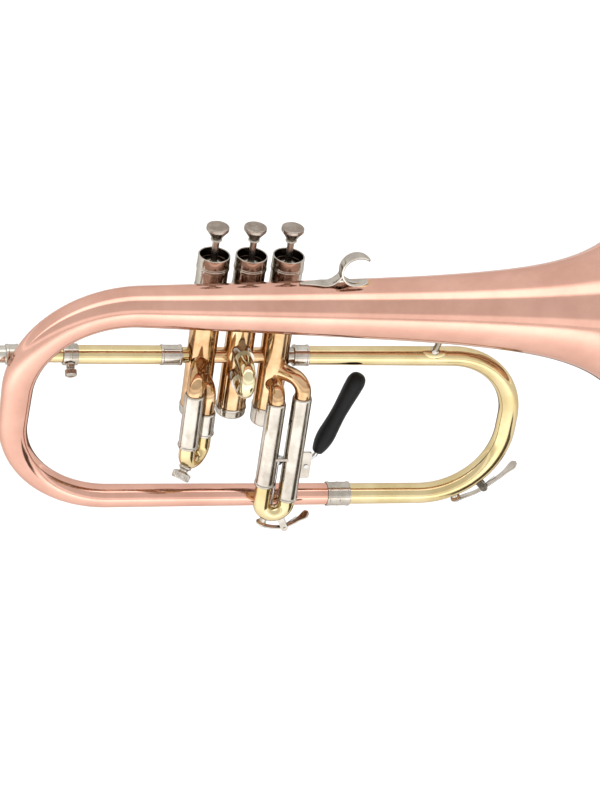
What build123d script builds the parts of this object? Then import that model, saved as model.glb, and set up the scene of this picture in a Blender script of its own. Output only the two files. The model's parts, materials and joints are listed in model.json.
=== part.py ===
from build123d import *
import math
import os

# Flugelhorn, three valves, vertical tuning, with a third slide trigger. Millimetres.
# Origin: centre of the mouthpiece receiver's mouth. +X runs down the leadpipe to the bell,
# +Z runs up the valves to the finger buttons, -Y is the side where the bell passes.

# ---- driving dimensions ----
wall = 0.6                      # sheet wall of bell, bows and tubes
fit = 0.03                      # radial clearance of running fits
seat = 0.02                     # radial clearance of soldered sockets

# valve block
first_valve_x = 164.7
valve_spacing = 26.3
casing_radius = 10.3            # outside of the brass casing
piston_radius = 8.4
casing_overlap = 0.6             # how far a tube runs into the casing it is soldered to
upper_casing_radius = 11.0
upper_casing_bottom = 56.0
cap_seat_top = 70.8             # where the top cap's skirt lands
casing_top = 73.8
casing_bottom = -44.0
cap_seat_bottom = -40.2         # where the bottom cap's skirt lands
thread_step = 0.8               # casing wall turned down under the caps
top_cap_radius = 11.2
top_cap_rim = 81.5
top_cap_floor = 75.0
cap_collar_radius = 5.6
cap_collar_top = 76.2
bottom_cap_radius = 10.7
bottom_cap_ends = (-47.7, -47.7, -55.0)
bottom_cap_floor = 1.5
bottom_cap_bevel = 1.0
top_cap_floor_sheet = 1.2
top_cap_wall = 1.1
top_cap_bead = 0.3              # the bead stands this far out
top_cap_bead_height = 1.6

# pistons
valve_stroke = 15.5
piston_bottom = -26.0
piston_top = 30.0
piston_wall = 1.0
port_radius = 5.2               # bore of every air passage
barrel_top = 66.0
barrel_wall = 0.8
barrel_step = 0.3               # the barrel is this much slimmer than the piston
barrel_roof = 1.5
passage_wall = 0.5
passage_seam = 0.2              # the passages run this far into the piston's wall
passages = ((0.0, 0), (14.5, 50), (-13.5, -40))   # height and direction of each air passage
stem_radius = 2.4
button_radius = 7.9
button_height = 3.2
button_top = 104.0
button_cone = 6.6
button_edge = 0.5
button_dish = 0.4
felt_radius = 4.0
felt_height = 1.5
felt_gap = 0.1
guide_bottom = 33.0
guide_height = 3.0
guide_width = 3.0
guide_disc_radius = 6.6
guide_slack = 0.2               # sideways clearance of the guide in its slot
guide_stop_gap = 0.6
spring_wire = 0.9
spring_turns = 6
spring_gap = 0.35               # clearance of the spring's ends and side

# leadpipe line
leadpipe_radius = 6.7
mouthpipe_radius = 5.75
leadpipe_start = 66.9
mouthpipe_end = 118.0
inlet_ferrule_start = 135.5
inlet_ferrule_end = 150.4
inlet_ferrule_radius = 7.15
receiver_bore = 4.9
receiver_bore_depth = 25.0
receiver_radius = 6.0
receiver_collar_start = 27.0
receiver_collar_end = 35.5
receiver_collar_radius = 7.3
receiver_rim = 3.0
receiver_rim_step = 0.7
receiver_throat = 4.5
receiver_socket = 6.0           # how deep the mouthpipe sits in its receiver
mouthpipe_bore = 4.7
leadpipe_stop = 8.0             # room in the leadpipe past the mouthpipe's end
clamp_length = 10.5
clamp_radius = 7.7
clamp_lip = 0.5
clamp_mouth_gap = 0.3
clamp_turn = 38.0               # degrees its screw points below level
clamp_boss_radius = 3.0
clamp_boss_reach = 10.2
clamp_shank_radius = 1.3
clamp_neck_radius = 2.2
clamp_neck_start = 10.5
clamp_head_start = 11.5
clamp_head_bevel = 0.5
clamp_tip_gap = 0.1
clamp_screw_radius = 4.2
clamp_screw_reach = 16.0

# front bow
front_socket_x = 232.5
exit_ferrule_start = 230.8
exit_ferrule_end = 241.9
exit_ferrule_radius = 7.5
bow_socket_slack = 0.08
front_top_x = 348.7             # where the upper arc begins
front_upper_radius = 51.1
front_straight = 11.2
front_lower_radius = 57.7
front_start_tube = 6.8
front_side_tube = 7.35
front_end_tube = 7.75
bow_end_gap = 0.6               # between the two tube ends inside the bell ferrule

# bell, its bow and the bottom branch
branch_end_x = 279.8
branch_start_tube = 7.95
branch_end_tube = 8.5
bell_ferrule_start = 271.8
bell_ferrule_end = 289.0
bell_ferrule_radius = 8.75
bell_ferrule_lip = 0.35
bell_ferrule_bead = 1.6
bell_ferrule_slack = 0.1
bow_left_x = 34.2               # centre line's furthest point to the left
bow_upper_radius = 77.2
bow_straight = 28.4
bow_left_tube = 10.3
bow_shoulder_tube = 12.1
bow_corner_tube = 9.0
branch_middle_tube = 8.2
bell_y = -31.0
bell_z = 57.9
bell_rim_x = 468.0
bell_rim_radius = 75.6
bell_throat_radius = 14.3
rim_wire_radius = 1.6
rim_wire_gap = 0.3
lead_gap = 12.0                 # spacing of the sections along a bow's first straight run
tail_gap = 13.0                 # and along its last one
corner_steps = 9
# distance back from the rim, outside radius of the flare there
flare_points = ((13.0, 59.3), (29.5, 47.0), (55.6, 36.4), (85.2, 30.2), (114.6, 26.6),
                (145.0, 24.0), (201.4, 20.8), (270.0, 17.7))

# valve slides
elbow_tube = 5.7
slide_tube = 6.0
sleeve_radius = 6.95
leg_stop_gap = 1.5              # between an inner leg and the closed end of its sleeve
sleeve_cap = 3.0                # length of the sleeve's top that holds the elbow
slide_wall = 0.7
first_legs = ((156.1, -31.5), (169.0, -18.5))
first_ports = (-2.0, -16.0)
first_elbows = (10.0, 8.4)
first_sleeve_tops = (-12.3, -35.0)
first_sleeve_ends = (-56.0, -53.8)
first_crook_z = -62.2
third_legs = ((219.0, -19.0), (237.2, -19.0))
third_ports = (-18.2, -9.5)
third_elbows = (8.4, 10.6)
third_sleeve_tops = (-27.0, -22.5)
third_sleeve_ends = (-97.6, -110.0)
third_crook_z = -114.1
slide_insert = 34.0             # how far an inner leg reaches into its sleeve
band_length = 2.4
band_step = 0.65
second_band_step = 0.6
second_band_length = 2.0
second_root = 2.5
second_leg_start = 3.0          # the inner legs begin this far out from the casing
knob_turn = 52.0                # degrees its axis points below level
knob_sink = 1.2
knob_neck = (3.4, 5.0)          # radius, length
knob_foot = (5.0, 2.2)
knob_head = (6.6, 3.8, 9.4)     # radius, start, end
knob_edge = 1.2
slide_brace_z = -73.8
slide_brace_out = 4.4
slide_brace_radius = 1.2
second_tube = 5.4
second_sleeve_radius = 6.5
second_ports = (8.7, -10.3)
second_sleeve_end = -19.5
second_crook_y = -28.0

# water keys
key_width = 5.0
key_thickness = 1.5
key_pin_radius = 1.0
key_hub_radius = 2.1
key_lug = 1.3
key_lug_width = 5.0
key_lug_gap = 0.3
key_eye_radius = 2.5
key_pin_end = 0.9
key_thumb_radius = 4.2
nipple_radius = 2.6
nipple_height = 2.4
cork_radius = 3.2
cork_height = 2.0
cork_gap = 0.05
cup_wall = 0.8
cup_roof = 1.4
cup_grip = 0.6                  # share of the cork that its cup covers
nipple_bore = 1.2
key_trim = 0.1                  # the saddle and ring are trimmed this much inside the bow's face
key_sink = 3.0                  # how far the lugs start inside the tube before trimming

# trigger of the third slide
trigger_x = 249.3
trigger_z = -86.0
trigger_y = -8.8
trigger_plate = 2.4
trigger_angle = 0.20            # the short arm stands this far above level at rest
trigger_hub = 4.0
trigger_screw = 1.5
screw_head = (3.2, 1.5)         # radius, height
screw_play = 0.3
screw_tail = 0.6
bracket_sides = (10.5, 11.5)    # below and above the pivot
bracket_out = 3.6
bracket_corner = 2.0
trigger_eye = 2.6
trigger_arm_width = 3.6
trigger_pin = 1.2
trigger_pin_end = 0.6
bracket_thickness = 2.2
bracket_gap = 1.45              # room for the stem, which leans towards the bracket
grip_start = (257.2, -75.8)
grip_end = (279.6, -9.8)
grip_y = -9.4
grip_socket = 40.0              # how far the steel rod runs up inside the rubber
stem_rod = 1.7
stem_lead = 3.0                 # the stem is straight this far before the rubber
stem_sink = 0.4
# radius, distance up the grip
grip_outline = ((4.6, 0.0), (6.3, 5.0), (6.8, 13.0), (6.2, 34.0), (6.5, 52.7), (6.9, 60.7))
grip_crown = (5.3, 2.6)         # radius, distance down from the top
link_y = -13.2
link_radius = 1.0
link_eye = 3.4
link_thickness = 1.6
link_clearance = 0.55
link_root = 0.3

# finger hook, braces
hook_x = 258.0
hook_radius = 11.0
hook_strip = 2.0
hook_width = 9.0
hook_foot_x = 221.0
hook_arc = (48, 165, 272, 186)  # degrees of its tip, back, lowest point and neck
hook_lift = 0.4
hook_toe = 5.5
hook_neck = (17.0, 8.3)         # back along the foot, down from the ring's centre
hook_web = 1.2
hook_web_arc = (190, 215, 250)
hook_web_start = 12.0
hook_web_end = 4.0
hook_foot_lift = 0.6
hook_slopes = ((-0.25, 0, -1), (-1, 0, -0.12))    # the foot's direction at its neck and its end
saddle_half = 4.5
saddle_depth = 12.0
brace_x = 334.0
brace_radius = 2.2
brace_foot_radius = 5.5
brace_foot = 1.4
brace_sink = 3.0                # how far each foot starts inside its tube before trimming
brace_trim = 0.15
halvings = 40                   # steps that find the bell's radius at a place

# ---- derived places ----
valve_xs = [first_valve_x + n * valve_spacing for n in range(3)]
casing_bore = piston_radius + fit
front_depth = front_upper_radius + front_straight + front_lower_radius
branch_z = -front_depth
bow_rise = math.hypot(bell_y, bell_z - branch_z)
bow_up = Vector(0, bell_y / bow_rise, (bell_z - branch_z) / bow_rise)
bow_lower_radius = bow_rise - bow_upper_radius - bow_straight
bell_start_x = bow_left_x + bow_upper_radius
down = Vector(0, 0, -1)


# ---- helpers ----
def rod(start, end, radius):
    """Solid round bar from one point to another."""
    start = Vector(*start)
    end = Vector(*end)
    return Solid.make_cylinder(radius, (end - start).length, Plane(origin=start, z_dir=end - start))


def pipe(start, end, outer, inner):
    return rod(start, end, outer) - rod(start, end, inner)


def block(x, y, z):
    """Box from three (low, high) spans."""
    size = (x[1] - x[0], y[1] - y[0], z[1] - z[0])
    return Pos(x[0], y[0], z[0]) * Box(*size, align=(Align.MIN, Align.MIN, Align.MIN))


def turned_x(profile, y=0.0, z=0.0):
    """Turn (x, radius) points about the X line through (y, z)."""
    points = [(x, r) for x, r in profile]
    face = make_face(Polyline(*points, close=True))
    return Pos(0, y, z) * revolve(face, Axis.X)


def turned_z(profile, x=0.0, y=0.0):
    """Turn (radius, z) points about the Z line through (x, y)."""
    points = [(r, 0, z) for r, z in profile]
    face = make_face(Polyline(*points, close=True))
    return Pos(x, y, 0) * revolve(face, Axis.Z)


def follow(path, start, heading, outer, inner):
    """Hollow round tube along a path of lines and arcs."""
    frame = Plane(origin=start, z_dir=heading)
    skin = sweep(frame * Circle(outer), path=path)
    return skin - sweep(frame * Circle(inner), path=path)


def loft_tube(stations, side, thickness):
    """Hollow tube through (point, heading, outer radius) stations."""
    def skin(shrink, extra):
        sections = []
        last = len(stations) - 1
        for n, (point, heading, radius) in enumerate(stations):
            shift = {0: -extra, last: extra}.get(n, 0.0)
            plane = Plane(origin=point + heading * shift, x_dir=side, z_dir=heading)
            sections.append(plane * Circle(radius - shrink))
        return loft(sections)
    return skin(0.0, 0.0) - skin(thickness, 0.5)


def blend_radius(values, share):
    """Radius at a share of the way along evenly spaced values."""
    place = share * (len(values) - 1)
    n = min(int(place), len(values) - 2)
    return values[n] + (values[n + 1] - values[n]) * (place - n)


def bow_stations(top, forward, up, upper, straight, lower, tail_end, lead_start, radii):
    """Centre line of a bow: lead-in, upper quarter, straight, lower quarter and tail."""
    places = []
    lead = (top - lead_start).length
    count = max(1, round(lead / lead_gap))
    for n in range(count):
        places.append((lead_start + forward * (lead * n / count), forward))
    centre = top - up * upper
    for n in range(corner_steps + 1):
        a = math.pi / 2 * n / corner_steps
        places.append((centre + up * (upper * math.cos(a)) + forward * (upper * math.sin(a)),
                       forward * math.cos(a) - up * math.sin(a)))
    centre = places[-1][0] - up * straight - forward * lower
    for n in range(corner_steps + 1):
        a = math.pi / 2 * n / corner_steps
        places.append((centre + forward * (lower * math.cos(a)) - up * (lower * math.sin(a)),
                       forward * -math.sin(a) - up * math.cos(a)))
    turn = places[-1][0]
    tail = abs(tail_end - turn.X)
    count = round(tail / tail_gap)
    for n in range(1, count + 1):
        places.append((turn - forward * (tail * n / count), forward * -1))
    run = [0.0]
    for before, after in zip(places, places[1:]):
        run.append(run[-1] + (after[0] - before[0]).length)
    return [(p, h, blend_radius(radii, s / run[-1])) for (p, h), s in zip(places, run)]


# ---- bell, bows and ferrules ----
def flare_outline():
    """Outside of the bell from its throat to the rim as (x, radius)."""
    points = [(bell_rim_x, bell_rim_radius)]
    points += [(bell_rim_x - back, radius) for back, radius in flare_points]
    points.append((bell_start_x, bell_throat_radius))
    return points[::-1]


def flare_face(shrink):
    outline = [(x, r - shrink) for x, r in flare_outline()]
    first = outline[0]
    last = outline[-1]
    curve = Spline(*outline)
    rest = Polyline(last, (last[0], 0), (first[0], 0), first)
    return make_face(curve + rest)


def bell_solid():
    """The flare as if it were filled, for trimming what is soldered to it."""
    return Pos(0, bell_y, bell_z) * revolve(flare_face(0.0), Axis.X)


def make_bell():
    outer = [(x, r) for x, r in flare_outline()]
    inner = [(x, r - wall) for x, r in outer]
    ring = Spline(*outer) + Line(outer[-1], inner[-1]) + Spline(*inner) + Line(inner[0], outer[0])
    return Pos(0, bell_y, bell_z) * revolve(make_face(ring), Axis.X)


def make_bell_rim_wire():
    (x0, r0), (x1, r1) = flare_outline()[-2:]
    slope = math.atan2(r1 - r0, x1 - x0)
    x = x1 - math.sin(slope) * (rim_wire_radius + rim_wire_gap)
    r = r1 + math.cos(slope) * (rim_wire_radius + rim_wire_gap)
    circle = Pos(x, r) * Circle(rim_wire_radius)
    return Pos(0, bell_y, bell_z) * revolve(circle, Axis.X)


def make_bell_bow():
    forward = Vector(-1, 0, 0)
    top = Vector(bell_start_x, bell_y, bell_z)
    radii = (bell_throat_radius, bow_shoulder_tube, bow_left_tube, bow_corner_tube,
             branch_end_tube, branch_middle_tube, branch_start_tube)
    stations = bow_stations(top, forward, bow_up, bow_upper_radius, bow_straight,
                            bow_lower_radius, branch_end_x, top, radii)
    return loft_tube(stations[1:], Vector(0, bow_up.Z, -bow_up.Y), wall)


def make_front_bow():
    forward = Vector(1, 0, 0)
    radii = (front_start_tube, front_side_tube, front_end_tube)
    stations = bow_stations(Vector(front_top_x, 0, 0), forward, Vector(0, 0, 1),
                            front_upper_radius, front_straight, front_lower_radius,
                            branch_end_x + bow_end_gap, Vector(front_socket_x, 0, 0), radii)
    return loft_tube(stations, Vector(0, 1, 0), wall)


def make_bell_ferrule():
    bore = branch_start_tube + bell_ferrule_slack
    lip = bell_ferrule_radius + bell_ferrule_lip
    ends = (bell_ferrule_start, bell_ferrule_end)
    bead = bell_ferrule_bead
    profile = [(ends[0], bore), (ends[0], lip), (ends[0] + bead, lip),
               (ends[0] + bead, bell_ferrule_radius), (ends[1] - bead, bell_ferrule_radius),
               (ends[1] - bead, lip), (ends[1], lip), (ends[1], bore)]
    return turned_x(profile, 0, branch_z)


def make_exit_ferrule():
    start = valve_xs[2] + casing_radius - casing_overlap
    socket = front_start_tube + bow_socket_slack
    profile = [(start, port_radius), (start, elbow_tube), (exit_ferrule_start, elbow_tube),
               (exit_ferrule_start, exit_ferrule_radius), (exit_ferrule_end, exit_ferrule_radius),
               (exit_ferrule_end, socket), (front_socket_x, socket), (front_socket_x, port_radius)]
    return turned_x(profile) - casing_core(2)


# ---- leadpipe line ----
def make_leadpipe():
    end = valve_xs[0] - casing_radius + casing_overlap
    slide_bore = mouthpipe_radius + fit
    step = mouthpipe_end + leadpipe_stop
    profile = [(leadpipe_start, slide_bore), (leadpipe_start, leadpipe_radius),
               (inlet_ferrule_end, leadpipe_radius), (inlet_ferrule_end, elbow_tube),
               (end, elbow_tube), (end, port_radius), (step, port_radius), (step, slide_bore)]
    return turned_x(profile) - casing_core(0)


def make_inlet_ferrule():
    start = (inlet_ferrule_start, 0, 0)
    end = (inlet_ferrule_end, 0, 0)
    return pipe(start, end, inlet_ferrule_radius, leadpipe_radius + seat)


def make_mouthpipe():
    socket = receiver_collar_end - receiver_socket
    return pipe((socket, 0, 0), (mouthpipe_end, 0, 0), mouthpipe_radius, mouthpipe_bore)


def make_mouthpiece_receiver():
    socket = receiver_collar_end - receiver_socket
    tube_seat = mouthpipe_radius + seat
    rim = receiver_radius + receiver_rim_step
    profile = [(0, receiver_bore), (0, rim), (receiver_rim, rim),
               (receiver_rim, receiver_radius), (receiver_collar_start, receiver_radius),
               (receiver_collar_start, receiver_collar_radius),
               (receiver_collar_end, receiver_collar_radius), (receiver_collar_end, tube_seat),
               (socket, tube_seat), (socket, receiver_throat), (receiver_bore_depth, receiver_throat),
               (receiver_bore_depth, receiver_bore)]
    return turned_x(profile)


def clamp_axis():
    x = leadpipe_start - clamp_lip + clamp_length / 2
    turn = math.radians(clamp_turn)
    return x, Vector(0, -math.cos(turn), -math.sin(turn))


def make_tuning_clamp():
    x, out = clamp_axis()
    start = leadpipe_start - clamp_lip
    collar = rod((start, 0, 0), (start + clamp_length, 0, 0), clamp_radius)
    centre = Vector(x, 0, 0)
    boss = rod(centre, centre + out * clamp_boss_reach, clamp_boss_radius)
    bore = rod((start + clamp_lip, 0, 0), (start + clamp_length, 0, 0), leadpipe_radius + seat)
    mouth = rod((start, 0, 0), (start + 2 * clamp_lip, 0, 0), mouthpipe_radius + clamp_mouth_gap)
    hole = rod(centre, centre + out * clamp_screw_reach, clamp_shank_radius + fit)
    return collar + boss - bore - mouth - hole


def make_clamp_screw():
    x, out = clamp_axis()
    centre = Vector(x, 0, 0)
    inside = centre + out * (clamp_head_start + clamp_lip)
    shank = rod(centre + out * (leadpipe_radius + clamp_tip_gap), inside, clamp_shank_radius)
    neck = rod(centre + out * clamp_neck_start, inside, clamp_neck_radius)
    head = rod(centre + out * clamp_head_start, centre + out * clamp_screw_reach, clamp_screw_radius)
    return shank + neck + chamfer(head.edges(), clamp_head_bevel)


# ---- valve block ----
def casing_core(n):
    """Filled outside of a casing, for trimming the tubes that join it."""
    x = valve_xs[n]
    return rod((x, 0, casing_bottom), (x, 0, casing_top), casing_radius)


def port_directions(n):
    """Every (direction, height) where air enters or leaves a casing."""
    x = valve_xs[n]
    ports = [((-1, 0), 0.0), ((1, 0), 0.0)]
    legs = {0: zip(first_legs, first_ports), 2: zip(third_legs, third_ports)}.get(n, [])
    for (leg_x, leg_y), z in legs:
        ports.append(((leg_x - x, leg_y), z))
    if n == 1:
        ports += [((0, -1), z) for z in second_ports]
    return ports


def make_valve_casing(n):
    x = valve_xs[n]
    turned = casing_radius - thread_step
    profile = [(casing_bore, casing_bottom), (turned, casing_bottom), (turned, cap_seat_bottom),
               (casing_radius, cap_seat_bottom), (casing_radius, upper_casing_bottom),
               (casing_bore, upper_casing_bottom)]
    body = turned_z(profile, x)
    for (dx, dy), z in port_directions(n):
        out = Vector(dx, dy, 0).normalized() * (casing_radius + 2)
        body -= rod((x, 0, z), Vector(x, 0, z) + out, port_radius)
    return body


def make_upper_casings():
    body = []
    for x in valve_xs:
        turned = upper_casing_radius - thread_step
        profile = [(casing_bore, upper_casing_bottom), (upper_casing_radius, upper_casing_bottom),
                   (upper_casing_radius, cap_seat_top), (turned, cap_seat_top),
                   (turned, casing_top), (casing_bore, casing_top)]
        body.append(turned_z(profile, x))
    return Compound(children=body)


def make_top_cap(n):
    skirt = upper_casing_radius - thread_step + seat
    recess = top_cap_radius - top_cap_wall
    hole = stem_radius + felt_gap
    bead = top_cap_radius + top_cap_bead
    under = top_cap_floor - top_cap_floor_sheet
    bead_top = cap_seat_top + top_cap_bead_height
    profile = [(hole, under), (hole, cap_collar_top), (cap_collar_radius, cap_collar_top),
               (cap_collar_radius, top_cap_floor), (recess, top_cap_floor), (recess, top_cap_rim),
               (top_cap_radius, top_cap_rim), (top_cap_radius, bead_top),
               (bead, bead_top), (bead, cap_seat_top), (skirt, cap_seat_top), (skirt, under)]
    return turned_z(profile, valve_xs[n])


def make_bottom_cap(n):
    end = bottom_cap_ends[n]
    skirt = casing_radius - thread_step + seat
    floor = end + bottom_cap_floor
    bevel = bottom_cap_bevel
    profile = [(0, end), (bottom_cap_radius - bevel, end), (bottom_cap_radius, end + bevel),
               (bottom_cap_radius, cap_seat_bottom), (skirt, cap_seat_bottom), (skirt, floor),
               (0, floor)]
    return turned_z(profile, valve_xs[n])


def make_piston(n):
    x = valve_xs[n]
    hollow = piston_radius - piston_wall
    body = rod((x, 0, piston_bottom), (x, 0, piston_top), piston_radius)
    body -= rod((x, 0, piston_bottom + piston_wall), (x, 0, piston_top - piston_wall), hollow)
    inside = rod((x, 0, piston_bottom), (x, 0, piston_top), hollow + passage_seam)
    for z, turn in passages:
        reach = Vector(math.cos(math.radians(turn)), math.sin(math.radians(turn)), 0) * casing_radius
        centre = Vector(x, 0, z)
        passage = rod(centre - reach, centre + reach, port_radius + passage_wall)
        bore = rod(centre - reach, centre + reach, port_radius)
        body = body + (passage & inside) - bore
    outside = piston_radius - barrel_step
    ceiling = barrel_top - barrel_roof
    barrel = rod((x, 0, piston_top), (x, 0, barrel_top), outside)
    barrel -= rod((x, 0, piston_top), (x, 0, ceiling), outside - barrel_wall)
    slot_top = guide_bottom + guide_height + valve_stroke + guide_stop_gap
    slot_half = guide_width / 2 + guide_slack
    slot = block((x - casing_radius, x + casing_radius), (-slot_half, slot_half),
                 (guide_bottom - 2 * guide_slack, slot_top))
    hole = rod((x, 0, ceiling - barrel_step), (x, 0, barrel_top), stem_radius)
    return body + (barrel - slot - hole)


def make_finger_button(n):
    rim = button_top - button_height
    low = rim - button_cone
    foot = barrel_top - barrel_roof
    profile = [(0, foot), (stem_radius, foot), (stem_radius, low), (button_radius, rim),
               (button_radius, button_top - button_edge), (button_radius - button_edge, button_top),
               (0, button_top - button_dish)]
    return turned_z(profile, valve_xs[n])


def make_button_felt(n):
    x = valve_xs[n]
    top = button_top - button_height - button_cone - felt_gap
    return pipe((x, 0, top - felt_height), (x, 0, top), felt_radius, stem_radius + seat)


def make_valve_spring(n):
    low = guide_bottom + guide_height + spring_gap + spring_wire / 2
    high = barrel_top - barrel_roof - spring_gap - spring_wire / 2
    mean = piston_radius - barrel_step - barrel_wall - spring_gap - spring_wire / 2
    coil = Helix(pitch=(high - low) / spring_turns, height=high - low, radius=mean)
    start = Vector(mean, 0, 0)
    wire = sweep(Plane(origin=start, z_dir=coil % 0) * Circle(spring_wire / 2), path=coil,
                 is_frenet=True)
    return Pos(valve_xs[n], 0, low) * wire


def make_valve_guides():
    guides = []
    for x in valve_xs:
        top = guide_bottom + guide_height
        bar = block((x - casing_radius, x + casing_radius), (-guide_width / 2, guide_width / 2),
                    (guide_bottom, top))
        disc = rod((x, 0, guide_bottom), (x, 0, top), guide_disc_radius)
        bar = bar & rod((x, 0, guide_bottom), (x, 0, top), casing_bore)
        hub = disc + bar
        guides.append(hub - rod((x, 0, 0), (x, 0, 2 * top), stem_radius + guide_stop_gap))
    return Compound(children=guides)


def make_valve_knuckles():
    parts = []
    for n in range(2):
        tube = pipe((valve_xs[n], 0, 0), (valve_xs[n + 1], 0, 0), elbow_tube, port_radius)
        parts.append(tube - casing_core(n) - casing_core(n + 1))
    return Compound(children=parts)


# ---- valve slides ----
def valve_elbow(n, leg, port_z, radius, end_z):
    """Tube from a casing's side port, level towards the leg, then down into the sleeve."""
    start = Vector(valve_xs[n], 0, port_z)
    over = Vector(leg[0], leg[1], port_z)
    heading = (over - start).normalized()
    turn = over - heading * radius
    bottom = over + down * radius
    middle = over - heading * radius + down * radius
    middle = middle + (over - middle).normalized() * radius
    path = Wire([Line(start, turn).edge(), ThreePointArc(turn, middle, bottom).edge(),
                 Line(bottom, (leg[0], leg[1], end_z)).edge()])
    return follow(path, start, heading, elbow_tube, port_radius) - casing_core(n)


def make_elbows(n, legs, ports, radii, tops):
    tubes = []
    for leg, port, radius, top in zip(legs, ports, radii, tops):
        tubes.append(valve_elbow(n, leg, port, radius, top - sleeve_cap))
    return Compound(children=tubes)


def make_sleeve(leg, top, end, outer, tube):
    x, y = leg
    body = rod((x, y, end), (x, y, top), outer)
    body += rod((x, y, end), (x, y, end + band_length), outer + band_step)
    body -= rod((x, y, end), (x, y, top - sleeve_cap), tube + fit)
    return body - rod((x, y, end), (x, y, top), elbow_tube + seat)


def make_sleeves(legs, tops, ends):
    pair = [make_sleeve(*three, sleeve_radius, slide_tube) for three in zip(legs, tops, ends)]
    return Compound(children=pair)


def crook_path(legs, tops, crook_z):
    """Down one leg, round the crook and up the other leg."""
    (ax, ay), (bx, by) = legs
    radius = math.hypot(bx - ax, by - ay) / 2
    low = Vector((ax + bx) / 2, (ay + by) / 2, crook_z - radius)
    return Wire([Line((ax, ay, tops[0]), (ax, ay, crook_z)).edge(),
                 ThreePointArc((ax, ay, crook_z), low, (bx, by, crook_z)).edge(),
                 Line((bx, by, crook_z), (bx, by, tops[1])).edge()])


def inner_tops(sleeve_tops, sleeve_ends):
    """Upper ends of the two inner legs, short of the sleeve's closed top."""
    tops = []
    for top, end in zip(sleeve_tops, sleeve_ends):
        tops.append(min(end + slide_insert, top - sleeve_cap - leg_stop_gap))
    return tops


def make_slide(legs, sleeve_tops, sleeve_ends, crook_z):
    tops = inner_tops(sleeve_tops, sleeve_ends)
    path = crook_path(legs, tops, crook_z)
    start = Vector(*legs[0], tops[0])
    return follow(path, start, down, slide_tube, slide_tube - slide_wall)


def first_crook_frame():
    """Centre of the first crook's arc, its radius and the way out to its first leg."""
    (ax, ay), (bx, by) = first_legs
    centre = Vector((ax + bx) / 2, (ay + by) / 2, first_crook_z)
    side = Vector(ax - bx, ay - by, 0).normalized()
    return centre, math.hypot(bx - ax, by - ay) / 2, side


def make_first_slide_knob():
    centre, radius, side = first_crook_frame()
    turn = math.radians(knob_turn)
    out = side * math.cos(turn) + down * math.sin(turn)
    base = centre + out * (radius + slide_tube - knob_sink)
    neck = rod(base, base + out * knob_neck[1], knob_neck[0])
    head = rod(base + out * knob_head[1], base + out * knob_head[2], knob_head[0])
    foot = rod(base, base + out * knob_foot[1], knob_foot[0])
    crook = first_slide_core()
    return neck + fillet(head.edges(), knob_edge) + (foot - crook) - crook


def first_slide_core():
    tops = inner_tops(first_sleeve_tops, first_sleeve_ends)
    path = crook_path(first_legs, tops, first_crook_z)
    frame = Plane(origin=Vector(*first_legs[0], tops[0]), z_dir=down)
    return sweep(frame * Circle(slide_tube + seat), path=path)


def make_second_slide_sleeves():
    x = valve_xs[1]
    parts = []
    for z in second_ports:
        root = -casing_radius - second_root
        sleeve = rod((x, 0, z), (x, second_sleeve_end, z), second_sleeve_radius)
        sleeve += rod((x, second_sleeve_end + second_band_length, z), (x, second_sleeve_end, z),
                      second_sleeve_radius + second_band_step)
        sleeve -= rod((x, root, z), (x, second_sleeve_end, z), second_tube + fit)
        sleeve -= rod((x, 0, z), (x, root, z), port_radius)
        parts.append(sleeve - casing_core(1))
    return Compound(children=parts)


def make_second_slide():
    x = valve_xs[1]
    high, low = second_ports
    start = Vector(x, -casing_radius - second_leg_start, high)
    end = Vector(x, -casing_radius - second_leg_start, low)
    turn = Vector(x, second_crook_y, high)
    back = Vector(x, second_crook_y, low)
    apex = Vector(x, second_crook_y - (high - low) / 2, (high + low) / 2)
    path = Wire([Line(start, turn).edge(), ThreePointArc(turn, apex, back).edge(),
                 Line(back, end).edge()])
    return follow(path, start, Vector(0, -1, 0), second_tube, second_tube - wall)


def make_third_slide_brace():
    (ax, ay), (bx, by) = third_legs
    z = slide_brace_z
    y = ay - slide_brace_out
    bar = rod((ax, y, z), (bx, y, z), slide_brace_radius)
    for x in (ax, bx):
        bar -= rod((x, ay, z - slide_brace_out), (x, ay, z + slide_brace_out), sleeve_radius)
    return bar


# ---- water keys ----
class KeyPlace:
    """A water key on the outside of a bend; angles run from +X towards -Z."""
    def __init__(self, centre, tube_outside, pad, pivot, touch):
        self.centre = Vector(*centre)
        self.tube_outside = tube_outside
        self.pad = pad
        self.pivot = pivot
        self.touch = touch

    def at(self, angle, radius, y=0.0):
        a = math.radians(angle)
        return self.centre + Vector(radius * math.cos(a), y, -radius * math.sin(a))


front_lower_x = front_top_x + front_upper_radius - front_lower_radius
front_key = KeyPlace((front_lower_x, 0, -front_upper_radius - front_straight),
                     front_lower_radius + front_end_tube - key_trim, (64, 71.6), (46, 71.8), (24, 77.0))
third_centre_x = (third_legs[0][0] + third_legs[1][0]) / 2
third_crook_radius = (third_legs[1][0] - third_legs[0][0]) / 2
third_key = KeyPlace((third_centre_x, third_legs[0][1], third_crook_z),
                     third_crook_radius + slide_tube, (112, 21.4), (64, 22.6), (18, 27.5))


def key_nipple(key, core):
    low = key.at(key.pad[0], key.tube_outside - 1.0)
    high = key.at(key.pad[0], key.tube_outside + nipple_height)
    return pipe(low, high, nipple_radius, nipple_bore) - core


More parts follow.
